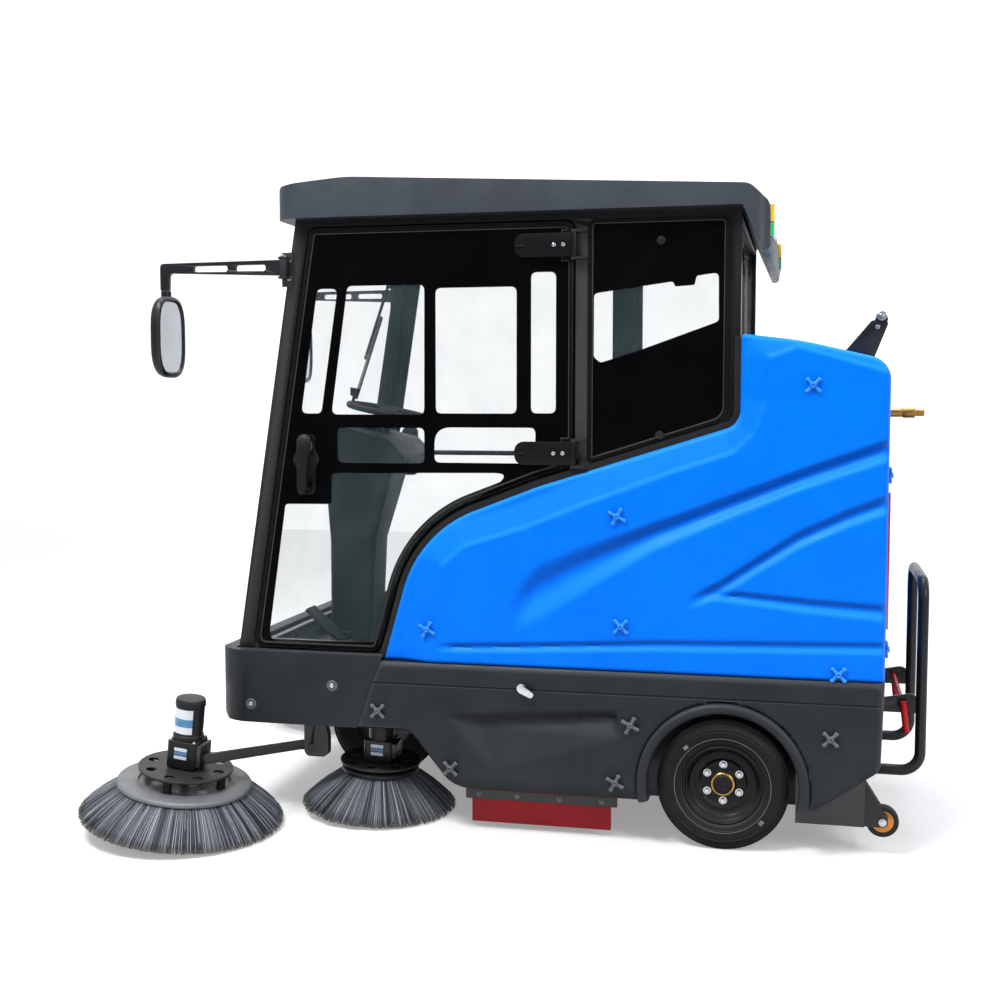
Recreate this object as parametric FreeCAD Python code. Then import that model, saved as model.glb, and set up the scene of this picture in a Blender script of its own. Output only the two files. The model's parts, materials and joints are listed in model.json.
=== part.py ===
import FreeCAD, Part
import os
from math import cos, hypot, pi, radians, sin, tan

# Ride-on sweeper. Millimetres, +Z up, the machine drives towards -X, its left side is -Y.
# Sizes along X are measured from the rear axle. MIDDLE_X then moves everything so that X = 0
# is half-way between the front brush and the push handle. The floor is Z = 0.

# ---- running gear ---------------------------------------------------------------------
TYRE_R = 208.0
TYRE_WIDTH = 105.0
TYRE_OUTER_Y = 625.0
RIM_R = 127.0
RIM_BARREL = 10.0
HUB_R = 38.0
RUNNING_GAP = 0.05
STUB_R = 20.0
NUT_CIRCLE_R = 58.0
NUT_R = 11.0
NUT_COUNT = 6
WHEELBASE = 1300.0
FRONT_TYRE_WIDTH = 100.0
FORK_GAP = 10.0
FORK_PLATE = 12.0
FORK_STEM_R = 25.0
FRONT_AXLE_R = 12.0

# ---- chassis --------------------------------------------------------------------------
FLOOR_TOP = 500.0
FLOOR_THICK = 10.0
RAIL_HEIGHT = 60.0
RAIL_WIDTH = 60.0
RAIL_Y = 330.0
FLOOR_FRONT_X = -1648.0
FLOOR_REAR_X = 468.0
CROSS_WIDTH = 60.0
FLOOR_HALF_WIDTH = 590.0

# ---- lower body -----------------------------------------------------------------------
BELT_TOP = 560.0
COVER_HALF_WIDTH = 650.0
COVER_DEPTH = 50.0
COVER_WALL = 8.0
COVER_BOTTOM = 150.0
REAR_X = 486.0
ARCH_R = 235.0
ARCH_LIP = 32.0
ARCH_LIP_OUT = 12.0
BUMPER_FRONT_X = -1717.0
BUMPER_JOINT_X = -1116.0
BUMPER_JOINT_FOOT = -1201.0
BUMPER_JOINT_KNEE = (-1148.0, 491.0, 30.0)
BUMPER_BOTTOM = 332.0
BUMPER_TOP = 577.0
BUMPER_HALF_WIDTH = 640.0
BUMPER_WALL = 8.0
BUMPER_CORNER_R = 130.0
BUMPER_LEDGE_HALF = 594.0

# ---- blue body ------------------------------------------------------------------------
PANEL_HALF_WIDTH = 640.0
PANEL_DEPTH = 40.0
PANEL_WALL = 8.0
PANEL_EDGE_X = 40.0
HOOD_TOP = 1624.0

# ---- cab ------------------------------------------------------------------------------
CAB_HALF_WIDTH = 590.0
PILLAR_DEPTH = 45.0
CAB_TOP = 2012.0
A_PILLAR_TOP_X = -1418.0
A_PILLAR_SLOPE = 0.1545
A_PILLAR_WIDTH = 50.0
B_PILLAR_FRONT_X = -480.0
B_PILLAR_WIDTH = 40.0
C_PILLAR_WIDTH = 36.0
SILL_BOTTOM = 545.0
SILL_TOP = 577.0
HEADER_HEIGHT = 24.0
FRAME_TO_PANEL = 3.0
DOOR_TO_PANEL = 30.0
DOOR_GAP = 6.0
DOOR_RING = 28.0
DOOR_FRAME_THICK = 22.0
GLASS_THICK = 5.0
DOOR_GLASS_Y = -CAB_HALF_WIDTH - 2.0
DOOR_SKIN_Y = DOOR_GLASS_Y - GLASS_THICK
HINGE_X = -482.0
HINGE_Y = 612.0
HINGE_PIN_R = 5.0
HINGE_KNUCKLE_R = 11.0
HINGE_HEIGHT = 74.0
HINGE_LEVELS = (1213.0, 1870.0)
HINGE_LEAF = 190.0
GRAB_BAR_R = 10.0
GRAB_BAR_Z = 1202.0
GRAB_BAR_END_X = -575.0
HANDLE_X = -1386.0
HANDLE_Z = 1205.0
HANDLE_LENGTH = 190.0
HANDLE_HALF_WIDTH = 12.0
HANDLE_BASE = 6.0
HANDLE_PIVOT_OUT = 8.0
HANDLE_PIVOT_UP = 12.0
HANDLE_BARREL_R = 7.0

# ---- roof -----------------------------------------------------------------------------
ROOF_FRONT_X = -1490.0
ROOF_REAR_X = 128.0
ROOF_HALF_WIDTH = 640.0
ROOF_TOP = 2140.0
ROOF_REAR_TOP = 2076.0
ROOF_LIP_BOTTOM = 1880.0
ROOF_LIP_DEPTH = 30.0
ROOF_FRONT_TOP = 2118.0
ROOF_WALL = 8.0
ROOF_RIM = 34.0
ROOF_CORNER_R = 110.0

# ---- driver's place -------------------------------------------------------------------
WHEEL_CENTRE = (-1290.0, 0.0, 1378.0)
WHEEL_TILT = 11.0
STEERING_R = 146.0
STEERING_RIM_R = 12.0
COLUMN_R = 22.0
COLUMN_PIN_R = 10.0
DASH_HALF_WIDTH = 190.0
PEDAL_X = -1400.0
PEDAL_Y = -190.0
PEDAL_LENGTH = 190.0
PEDAL_PIN_R = 6.0
SEAT_FRONT_X = -700.0
SEAT_REAR_X = -230.0
SEAT_HALF_WIDTH = 240.0
SEAT_BASE_TOP = 830.0
SEAT_CUSHION = 105.0
SEAT_BACK_TOP = 1440.0

# ---- machinery under the hood ----------------------------------------------------------
BATTERY_X = 60.0
BATTERY_LENGTH = 165.0
FAN_X = 352.0
FAN_Z = 780.0
FAN_R = 115.0

# ---- side brushes: rim centre, rim radius, lean about Y and X ---------------------------
FRONT_BRUSH = {"x": -1765.0, "y": 785.0, "z": 50.0, "rim": 337.0, "lean": 7.0, "cant": 3.0,
               "disc_r": 153.0, "root_r": 209.0, "ring_hole": 150.0, "bristle": 102.0,
               "spacer": 38.0, "box": 102.0, "box_h": 92.0, "motor_r": 47.0, "motor_h": 138.0}
MID_BRUSH = {"x": -1195.0, "y": 425.0, "z": 22.0, "rim": 271.0, "lean": 3.0, "cant": 2.0,
             "disc_r": 139.0, "root_r": 124.0, "ring_hole": 90.0, "bristle": 118.0,
             "spacer": 12.0, "box": 100.0, "box_h": 70.0, "motor_r": 44.0, "motor_h": 92.0}
RING_THICK = 16.0
RING_EDGE = 9.0
DISC_THICK = 8.0
DISC_HOLES = 8
DISC_HOLE_R = 18.0
SPACERS = 4
SPACER_R = 16.0
BRISTLE_THICK = 55.0
BRUSH_SHAFT_R = 14.0
DRIVE_GAP = 4.0
FRONT_PIVOT = (-1388.0, 560.0, 243.0)
MID_PIVOT = (-930.0, 425.0, 345.0)
PIVOT_R = 9.0
ARM_THICK = 12.0
ARM_SIDE_GAP = 1.0
LUG_THICK = 8.0
LUG_PIN_END = 4.0

# ---- main brush -----------------------------------------------------------------------
MAIN_BRUSH_X = -590.0
MAIN_BRUSH_R = 160.0
MAIN_BRUSH_LIFT = 2.0
MAIN_BRUSH_HALF = 500.0
MAIN_CORE_R = 60.0
CRADLE_PIVOT_X = -800.0
CRADLE_PIVOT_Z = 350.0
CRADLE_PIN_R = 15.0
CRADLE_TUBE_R = 22.0
CRADLE_PLATE = 10.0
SKIRT_Y = 560.0
SKIRT_FRONT_X = -825.0
SKIRT_REAR_X = -360.0
SKIRT_BOTTOM = 22.0
SKIRT_TOP = 128.0
SKIRT_THICK = 8.0

# ---- hopper ---------------------------------------------------------------------------
HOPPER_FRONT_X = -330.0
HOPPER_STEP_X = 225.0
HOPPER_REAR_X = 435.0
HOPPER_NARROW = 395.0
HOPPER_WIDE = 585.0
HOPPER_BOTTOM = 95.0
HOPPER_TOP = 422.0
HOPPER_WALL = 5.0
CASTOR_X = 490.0
CASTOR_Y = 555.0
CASTOR_Z = 112.0
CASTOR_R = 50.0
CASTOR_WIDTH = 32.0
CASTOR_AXLE_R = 6.0
HANDLE_TUBE_R = 18.0
HANDLE_LOOP_X = 625.0
HANDLE_LOOP_Y = 235.0
HANDLE_LOOP_TOP = 822.0
HANDLE_LOOP_BOTTOM = 190.0
HANDLE_BEND = 62.0
LATCH_X = 565.0
LATCH_Z = 418.0
LATCH_SHAFT_R = 8.0
GRIP_R = 11.0
GRIP_GAP = 3.0

# ---- rear fittings --------------------------------------------------------------------
COUPLING_Y = -200.0
COUPLING_Z = 1378.0
GROMMET_R = 32.0
PIPE_R = 14.0
COUPLING_R = 17.0
COUPLING_TIP_R = 11.0
COUPLING_TIP = 30.0

# ---- tail lenses in the roof lip --------------------------------------------------------
TAIL_LENS_LEVELS = ((1918.0, 1957.0), (1961.0, 2014.0))
TAIL_LENS_IN = 470.0
TAIL_LENS_OUT = 608.0
TAIL_LENS_SINK = 12.0
TAIL_LENS_PROUD = 7.0

# ---- mirrors --------------------------------------------------------------------------
MIRROR_Y = 622.0
MIRROR_ROOT_X = -1449.0
MIRROR_TIP_X = -1872.0
MIRROR_Z = 1856.0
MIRROR_PIN_R = 8.0
MIRROR_HEAD_Z = 1631.0
MIRROR_HEIGHT = 274.0
MIRROR_WIDTH = 175.0
MIRROR_DEPTH = 46.0
MIRROR_YAW = 4.0

# ---- wiper ----------------------------------------------------------------------------
WIPER_Y = 480.0
WIPER_Z = 1880.0
WIPER_LENGTH = 520.0
WIPER_ANGLE = 28.0
WIPER_PIN_R = 8.0

# ---- knobs on the body, as (x, z) -----------------------------------------------------
KNOB_ARM = 27.0
BLUE_KNOBS = ((258.0, 1464.0), (-336.0, 1054.0), (-322.0, 705.0), (-958.0, 672.0), (347.0, 582.0))
DARK_KNOBS = ((-1125.0, 396.0), (-288.0, 393.0), (-877.0, 218.0), (-336.0, 205.0), (327.0, 383.0))
BUMPER_SCREWS = ((-1578.0, 394.0), (-1288.0, 470.0))
SIDE_LATCH_X = -638.0
SIDE_LATCH_Z = 497.0

MIDDLE_X = -(FRONT_BRUSH["x"] - FRONT_BRUSH["rim"] * cos(radians(FRONT_BRUSH["lean"]))
             + HANDLE_LOOP_X + HANDLE_TUBE_R) / 2.0


# ---- small geometry helpers -----------------------------------------------------------
def vec(x, y, z):
    return FreeCAD.Vector(x, y, z)


def box(x0, x1, y0, y1, z0, z1):
    return Part.makeBox(x1 - x0, y1 - y0, z1 - z0, vec(x0, y0, z0))


def rod(start, end, radius):
    """A round bar between two points."""
    run = vec(*end) - vec(*start)
    return Part.makeCylinder(radius, run.Length, vec(*start), run)


def sleeve(start, end, outer, inner):
    """A round tube between two points."""
    return rod(start, end, outer).cut(rod(start, end, inner))


def fuse(*shapes):
    return shapes[0].multiFuse(list(shapes[1:])).removeSplitter()


def group(*shapes):
    return Part.makeCompound(list(shapes))


def mirrored(shape):
    return shape.mirror(vec(0, 0, 0), vec(0, 1, 0))


def both_sides(shape):
    return group(shape, mirrored(shape))


def round_corner(before, here, after, radius):
    """Start, middle and end of the arc that rounds a corner between two straight runs."""
    back = (vec(*before) - vec(*here)).normalize()
    ahead = (vec(*after) - vec(*here)).normalize()
    half = back.getAngle(ahead) / 2.0
    reach = radius / tan(half)
    bisector = (back + ahead).normalize()
    centre = vec(*here) + bisector * (radius / sin(half))
    return (vec(*here) + back * reach, centre - bisector * radius, vec(*here) + ahead * reach)


def rounded_wire(points, closed=True):
    """Straight runs joined by tangent arcs. Each point is (x, y, z, corner radius)."""
    count = len(points)
    stops = []
    for index, point in enumerate(points):
        end_point = not closed and index in (0, count - 1)
        if point[3] <= 0 or end_point:
            stops.append((vec(*point[:3]), None, vec(*point[:3])))
            continue
        before = points[index - 1][:3]
        after = points[(index + 1) % count][:3]
        stops.append(round_corner(before, point[:3], after, point[3]))
    edges = []
    for index, stop in enumerate(stops):
        if stop[1] is not None:
            edges.append(Part.Arc(stop[0], stop[1], stop[2]).toShape())
        if index == count - 1 and not closed:
            break
        following = stops[(index + 1) % count][0]
        if (following - stop[2]).Length > 1e-4:
            edges.append(Part.LineSegment(stop[2], following).toShape())
    return Part.Wire(edges)


def side_plate(outline, y0, y1):
    """Extrude an outline of (x, z, corner radius) between two Y planes."""
    wire = rounded_wire([(x, y0, z, r) for x, z, r in outline])
    return Part.Face(wire).extrude(vec(0, y1 - y0, 0))


def plan_plate(outline, z0, z1):
    """Extrude an outline of (x, y, corner radius) between two Z planes."""
    wire = rounded_wire([(x, y, z0, r) for x, y, r in outline])
    return Part.Face(wire).extrude(vec(0, 0, z1 - z0))


def bent_tube(points, radius):
    """A round bar along straight runs with rounded corners."""
    path = rounded_wire(points, closed=False)
    start = path.Vertexes[0].Point
    direction = (vec(*points[1][:3]) - vec(*points[0][:3])).normalize()
    ring = Part.Wire(Part.makeCircle(radius, start, direction))
    return path.makePipeShell([ring], True, False)


def cross_point(a, b, c, d):
    """Where the line through a and b meets the line through c and d, in 2D."""
    run1 = (b[0] - a[0], b[1] - a[1])
    run2 = (d[0] - c[0], d[1] - c[1])
    area = run1[0] * run2[1] - run1[1] * run2[0]
    t = ((c[0] - a[0]) * run2[1] - (c[1] - a[1]) * run2[0]) / area
    return (a[0] + run1[0] * t, a[1] + run1[1] * t)


def grown(outline, distance):
    """An outline moved outwards by distance, with its corner arcs kept concentric."""
    count = len(outline)
    area = sum(outline[i - 1][0] * outline[i][1] - outline[i][0] * outline[i - 1][1]
               for i in range(count))
    side = 1.0 if area > 0 else -1.0
    moved = []
    for index in range(count):
        a = outline[index][:2]
        b = outline[(index + 1) % count][:2]
        length = hypot(b[0] - a[0], b[1] - a[1])
        nx = side * (b[1] - a[1]) / length * distance
        nz = -side * (b[0] - a[0]) / length * distance
        moved.append(((a[0] + nx, a[1] + nz), (b[0] + nx, b[1] + nz)))
    result = []
    for index in range(count):
        corner = cross_point(*moved[index - 1], *moved[index])
        before = outline[index - 1]
        here = outline[index]
        after = outline[(index + 1) % count]
        turn = ((here[0] - before[0]) * (after[1] - here[1])
                - (here[1] - before[1]) * (after[0] - here[0])) * side
        radius = here[2]
        if radius > 0:
            radius = max(1.0, radius + (distance if turn > 0 else -distance))
        result.append((corner[0], corner[1], radius))
    return result


def side_ring(outline, width, y0, y1):
    """A flat ring that follows an outline and is width wide."""
    return side_plate(outline, y0, y1).cut(side_plate(grown(outline, -width), y0 - 1, y1 + 1))


def tray(outline, wall, y_out, y_in):
    """A plate at y_out with a rim that reaches back to y_in."""
    step = wall if y_in > y_out else -wall
    inner = side_plate(grown(outline, -wall), y_out + step, y_in + step)
    return side_plate(outline, y_out, y_in).cut(inner)


def lean(shape, brush):
    """Move a shape built about the Z axis onto the axis of a left side brush."""
    shape = shape.copy()
    shape.rotate(vec(0, 0, 0), vec(0, 1, 0), brush["lean"])
    shape.rotate(vec(0, 0, 0), vec(1, 0, 0), brush["cant"])
    shape.translate(vec(brush["x"], -brush["y"], brush["z"]))
    return shape


def on_brush_axis(brush, height):
    """A point on the axis of a left side brush, height above the rim of its bristles."""
    point = Part.Vertex(0, 0, height)
    return lean(point, brush).Point


# ---- outlines -------------------------------------------------------------------------
def a_pillar_x(z):
    """Front edge of the A pillar at height z."""
    return A_PILLAR_TOP_X - A_PILLAR_SLOPE * (CAB_TOP - z)


def panel_outline():
    """Blue side panel: sloping nose, rising waistline, step up behind the cab."""
    return [(-1115.0, BELT_TOP, 0.0), (-994.0, 988.0, 400.0), (-599.0, 1142.0, 800.0),
            (PANEL_EDGE_X, 1345.0, 60.0), (PANEL_EDGE_X, HOOD_TOP, 12.0), (220.0, 1601.0, 900.0),
            (REAR_X, 1538.0, 75.0), (REAR_X, BELT_TOP, 0.0)]


def waist_point(x, distance):
    """Point of the rising waistline, moved out by distance, at x."""
    edge = grown(panel_outline(), distance)
    return cross_point(edge[2][:2], edge[3][:2], (x, 0.0), (x, 1.0))


def door_outline():
    edge = grown(panel_outline(), DOOR_TO_PANEL)
    bottom = SILL_TOP + DOOR_GAP
    top = CAB_TOP - HEADER_HEIGHT - DOOR_GAP
    rear = B_PILLAR_FRONT_X - DOOR_GAP
    toe = cross_point(edge[0][:2], edge[1][:2], (0.0, bottom), (1.0, bottom))
    heel = waist_point(rear, DOOR_TO_PANEL)
    front = A_PILLAR_WIDTH + DOOR_GAP
    return [(a_pillar_x(bottom) + front, bottom, 40.0), (toe[0], bottom, 30.0), edge[1], edge[2],
            (heel[0], heel[1], 14.0), (rear, top, 26.0), (a_pillar_x(top) + front, top, 26.0)]


def quarter_outline():
    front = B_PILLAR_FRONT_X + B_PILLAR_WIDTH
    rear = PANEL_EDGE_X - FRAME_TO_PANEL - C_PILLAR_WIDTH
    low = waist_point(front, DOOR_TO_PANEL - DOOR_GAP)
    high = waist_point(rear, DOOR_TO_PANEL - DOOR_GAP)
    top = CAB_TOP - HEADER_HEIGHT
    return [(front, low[1], 16.0), (rear, high[1], 60.0), (rear, top, 24.0), (front, top, 24.0)]


def cab_side_outline():
    edge = grown(panel_outline(), FRAME_TO_PANEL)
    toe = cross_point(edge[0][:2], edge[1][:2], (0.0, SILL_BOTTOM), (1.0, SILL_BOTTOM))
    return [(a_pillar_x(SILL_BOTTOM), SILL_BOTTOM, 0.0), (toe[0], SILL_BOTTOM, 0.0), edge[1], edge[2],
            edge[3], (edge[3][0], CAB_TOP, 0.0), (A_PILLAR_TOP_X, CAB_TOP, 0.0)]


def cover_outline():
    """Dark lower side cover behind the bumper, with its raised front corner."""
    return [(BUMPER_JOINT_X, BELT_TOP, 0.0), BUMPER_JOINT_KNEE, (BUMPER_JOINT_FOOT, 335.0, 0.0),
            (-1020.0, 335.0, 70.0), (-868.0, COVER_BOTTOM, 110.0), (REAR_X - 205.0, COVER_BOTTOM, 20.0),
            (REAR_X - 9.0, 290.0, 40.0), (REAR_X, BELT_TOP, 0.0)]


# ---- chassis --------------------------------------------------------------------------
def floor_plate():
    return box(FLOOR_FRONT_X, FLOOR_REAR_X, -FLOOR_HALF_WIDTH, FLOOR_HALF_WIDTH,
               FLOOR_TOP - FLOOR_THICK, FLOOR_TOP)


def welded(pieces):
    """The plates and tubes of a weldment as separate solids that meet face to face."""
    kept = []
    for piece in pieces:
        for other in kept:
            if piece.BoundBox.intersect(other.BoundBox):
                piece = piece.cut(other)
        kept += piece.Solids
    return kept


def frame_rails():
    top = FLOOR_TOP - FLOOR_THICK
    low = top - RAIL_HEIGHT
    rails = []
    for side in (-1, 1):
        y = side * RAIL_Y
        rails.append(box(FLOOR_FRONT_X, FLOOR_REAR_X, y - RAIL_WIDTH / 2, y + RAIL_WIDTH / 2, low, top))
    for x in (FLOOR_FRONT_X, FRONT_PIVOT[0] - CROSS_WIDTH / 2, -WHEELBASE - CROSS_WIDTH / 2,
              CRADLE_PIVOT_X - CROSS_WIDTH / 2, -CROSS_WIDTH / 2, FLOOR_REAR_X - CROSS_WIDTH):
        bottom = low + 20.0 if x == -WHEELBASE - CROSS_WIDTH / 2 else low
        rails.append(box(x, x + CROSS_WIDTH, -FLOOR_HALF_WIDTH, FLOOR_HALF_WIDTH, bottom + 15.0, top))
    return rails


def pivot_lugs(pivot):
    """Pin of a left brush arm and the two plates under the frame that carry it."""
    x, y, z = pivot
    top = FLOOR_TOP - FLOOR_THICK - RAIL_HEIGHT
    half = ARM_THICK / 2 + ARM_SIDE_GAP
    reach = half + LUG_THICK + LUG_PIN_END
    pieces = [rod((x, -y - reach, z), (x, -y + reach, z), PIVOT_R)]
    outline = [(x - 26.0, z - 35.0, 22.0), (x + 60.0, z - 35.0, 22.0), (x + 60.0, z + 40.0, 10.0),
               (x + 28.0, top, 0.0), (x - 26.0, top, 0.0)]
    for offset in (half, -half - LUG_THICK):
        pieces.append(side_plate(outline, -y + offset, -y + offset + LUG_THICK))
    return pieces


def cradle_lugs():
    """Plates that hang under the frame and carry the main brush cradle."""
    top = FLOOR_TOP - FLOOR_THICK
    y0 = -MAIN_BRUSH_HALF - 2 * CRADLE_PLATE - 8.0
    plate = side_plate([(CRADLE_PIVOT_X - 30.0, CRADLE_PIVOT_Z - 32.0, 25.0),
                        (CRADLE_PIVOT_X + 30.0, CRADLE_PIVOT_Z - 32.0, 25.0),
                        (CRADLE_PIVOT_X + 30.0, top, 0.0), (CRADLE_PIVOT_X - 30.0, top, 0.0)],
                       y0, y0 + LUG_THICK)
    bore = rod((CRADLE_PIVOT_X, y0 - 1, CRADLE_PIVOT_Z), (CRADLE_PIVOT_X, y0 + LUG_THICK + 1,
                                                          CRADLE_PIVOT_Z),
               CRADLE_PIN_R + RUNNING_GAP)
    plate = plate.cut(bore)
    return [plate, mirrored(plate)]


def chassis_frame():
    """Welded frame with floor plate, brush and cradle brackets, seat box and pedal ears."""
    pieces = [floor_plate()] + frame_rails()
    for pivot in (FRONT_PIVOT, MID_PIVOT):
        for piece in pivot_lugs(pivot):
            pieces += [piece, mirrored(piece)]
    pieces += cradle_lugs() + pedal_ears() + [seat_box()]
    stem_bore = rod((-WHEELBASE, 0, 300.0), (-WHEELBASE, 0, FLOOR_TOP + 1), FORK_STEM_R + RUNNING_GAP)
    return group(*[piece.cut(stem_bore) for piece in welded(pieces)])


def drive_units():
    """Gear motors hung from the frame, each with the stub axle of a rear wheel."""
    inner = TYRE_OUTER_Y - TYRE_WIDTH
    plate_out = inner - 6.0
    top = FLOOR_TOP - FLOOR_THICK - RAIL_HEIGHT + 15.0
    plate = side_plate([(-70.0, 150.0, 40.0), (70.0, 150.0, 40.0), (70.0, top, 0.0), (-70.0, top, 0.0)],
                       -plate_out, -plate_out + 14.0)
    motor = rod((0, -plate_out, TYRE_R), (0, -HOPPER_NARROW - 6.0, TYRE_R), 78.0)
    stub = rod((0, -TYRE_OUTER_Y + 22.0, TYRE_R), (0, -plate_out + 2.0, TYRE_R), STUB_R)
    shelf = box(-70.0, 70.0, -plate_out, -RAIL_Y - RAIL_WIDTH / 2, top - 12.0, top)
    return both_sides(fuse(plate, motor, stub, shelf))


# ---- wheels ---------------------------------------------------------------------------
def revolved(outline, x, z):
    """Turn an outline of (radius, y, corner radius) about the Y line through x and z."""
    wire = rounded_wire([(x + r, y, z, c) for r, y, c in outline])
    return Part.Face(wire).revolve(vec(x, 0, z), vec(0, 1, 0), 360)


def rear_tyre():
    out = -TYRE_OUTER_Y
    back = out + TYRE_WIDTH
    return revolved([(RIM_R, out + 8.0, 6.0), (TYRE_R, out, 36.0), (TYRE_R, back, 36.0),
                     (RIM_R, back - 8.0, 6.0)], 0.0, TYRE_R)


def rear_rim():
    """Deep-dish rim: barrel, disc, hub cap and wheel nuts."""
    out = -TYRE_OUTER_Y
    back = out + TYRE_WIDTH
    inner = RIM_R - RIM_BARREL
    disc_y = out + 48.0
    barrel = revolved([(inner, out + 9.0, 0), (RIM_R, out + 9.0, 0), (RIM_R, back - 9.0, 0),
                       (inner, back - 9.0, 0)], 0.0, TYRE_R)
    disc = sleeve((0, disc_y, TYRE_R), (0, disc_y + 8.0, TYRE_R), inner + 1.0, STUB_R + RUNNING_GAP)
    hub = sleeve((0, disc_y - 22.0, TYRE_R), (0, disc_y + 30.0, TYRE_R), HUB_R, STUB_R + RUNNING_GAP)
    cap = rod((0, disc_y - 36.0, TYRE_R), (0, disc_y - 27.5, TYRE_R), HUB_R - 6.0)
    cap_skirt = sleeve((0, disc_y - 30.0, TYRE_R), (0, disc_y - 20.0, TYRE_R), HUB_R - 6.0, STUB_R + 4.0)
    nuts = []
    for index in range(NUT_COUNT):
        angle = 2 * pi * index / NUT_COUNT
        x = NUT_CIRCLE_R * cos(angle)
        z = TYRE_R + NUT_CIRCLE_R * sin(angle)
        nuts.append(rod((x, disc_y - 16.0, z), (x, disc_y + 2.0, z), NUT_R))
    return fuse(barrel, disc, hub, cap, cap_skirt, *nuts)


def front_wheel():
    half = FRONT_TYRE_WIDTH / 2
    x = -WHEELBASE
    tyre = revolved([(RIM_R - 20.0, -half + 8.0, 6.0), (TYRE_R, -half, 34.0), (TYRE_R, half, 34.0),
                     (RIM_R - 20.0, half - 8.0, 6.0)], x, TYRE_R)
    disc = revolved([(HUB_R - 2.0, -8.0, 0), (RIM_R - 20.0, -half + 20.0, 0), (RIM_R - 20.0, half - 20.0, 0),
                     (HUB_R - 2.0, 8.0, 0)], x, TYRE_R)
    hub = sleeve((x, -half, TYRE_R), (x, half, TYRE_R), HUB_R, FRONT_AXLE_R + RUNNING_GAP)
    return group(tyre, fuse(disc, hub))


def front_fork():
    x = -WHEELBASE
    inside = FRONT_TYRE_WIDTH / 2 + FORK_GAP
    outside = inside + FORK_PLATE
    crown_low = 2 * TYRE_R + 12.0
    leg = side_plate([(x - 30.0, TYRE_R - 30.0, 28.0), (x + 30.0, TYRE_R - 30.0, 28.0),
                      (x + 45.0, crown_low + 14.0, 0), (x - 45.0, crown_low + 14.0, 0)],
                     -outside, -inside)
    crown = box(x - 45.0, x + 45.0, -outside, outside, crown_low, crown_low + 14.0)
    stem = rod((x, 0, crown_low), (x, 0, FLOOR_TOP + 20.0), FORK_STEM_R)
    axle = rod((x, -outside - 8.0, TYRE_R), (x, outside + 8.0, TYRE_R), FRONT_AXLE_R)
    return fuse(leg, mirrored(leg), crown, stem, axle)


# ---- lower body covers ----------------------------------------------------------------
def lower_cover():
    cover = tray(cover_outline(), COVER_WALL, -COVER_HALF_WIDTH, -COVER_HALF_WIDTH + COVER_DEPTH)
    arch = rod((0, -COVER_HALF_WIDTH - 30.0, TYRE_R), (0, -COVER_HALF_WIDTH + COVER_DEPTH + 5.0,
                                                       TYRE_R), ARCH_R)
    lip = sleeve((0, -COVER_HALF_WIDTH - ARCH_LIP_OUT, TYRE_R), (0, -COVER_HALF_WIDTH + COVER_DEPTH, TYRE_R),
                 ARCH_R + ARCH_LIP, ARCH_R)
    below = box(-400.0, 400.0, -COVER_HALF_WIDTH - 40.0, -COVER_HALF_WIDTH + COVER_DEPTH + 5.0,
                -100.0, COVER_BOTTOM)
    hollow = sleeve((0, -COVER_HALF_WIDTH + COVER_WALL, TYRE_R),
                    (0, -COVER_HALF_WIDTH + COVER_DEPTH + 1.0, TYRE_R), ARCH_R + ARCH_LIP + 1.0,
                    ARCH_R + COVER_WALL)
    return fuse(cover, lip).cut(fuse(arch, below, hollow))


def front_bumper():
    """Front nose and its two side returns, with a ledge round the cab floor."""
    knee_x, knee_z, knee_r = BUMPER_JOINT_KNEE
    side = [(BUMPER_FRONT_X + 8.0, BUMPER_TOP, 8.0), (BUMPER_FRONT_X, BUMPER_TOP - 26.0, 14.0),
            (BUMPER_FRONT_X, BUMPER_BOTTOM + 34.0, 30.0), (BUMPER_FRONT_X + 44.0, BUMPER_BOTTOM, 20.0),
            (BUMPER_JOINT_FOOT - 1.0, BUMPER_BOTTOM, 0.0), (knee_x - 1.0, knee_z, knee_r),
            (BUMPER_JOINT_X - 1.0, BELT_TOP, 0.0),
            (BUMPER_JOINT_X - 1.0, BUMPER_TOP, 0.0)]
    block = side_plate(side, -BUMPER_HALF_WIDTH, BUMPER_HALF_WIDTH)
    half = BUMPER_HALF_WIDTH
    plan = plan_plate([(BUMPER_FRONT_X, -half, BUMPER_CORNER_R), (-1000.0, -half, 0), (-1000.0, half, 0),
                       (BUMPER_FRONT_X, half, BUMPER_CORNER_R)], 300.0, 600.0)
    inner_front = BUMPER_FRONT_X + BUMPER_WALL
    inner = half - BUMPER_WALL
    hollow = plan_plate([(inner_front, -inner, BUMPER_CORNER_R - BUMPER_WALL), (-1000.0, -inner, 0),
                         (-1000.0, inner, 0), (inner_front, inner, BUMPER_CORNER_R - BUMPER_WALL)],
                        300.0, BUMPER_TOP - BUMPER_WALL)
    ledge = BUMPER_LEDGE_HALF
    opening = box(a_pillar_x(BUMPER_TOP) - 14.0, -1000.0, -ledge, ledge, 500.0, BUMPER_TOP + 1)
    return block.common(plan).cut(hollow).cut(opening)


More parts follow.
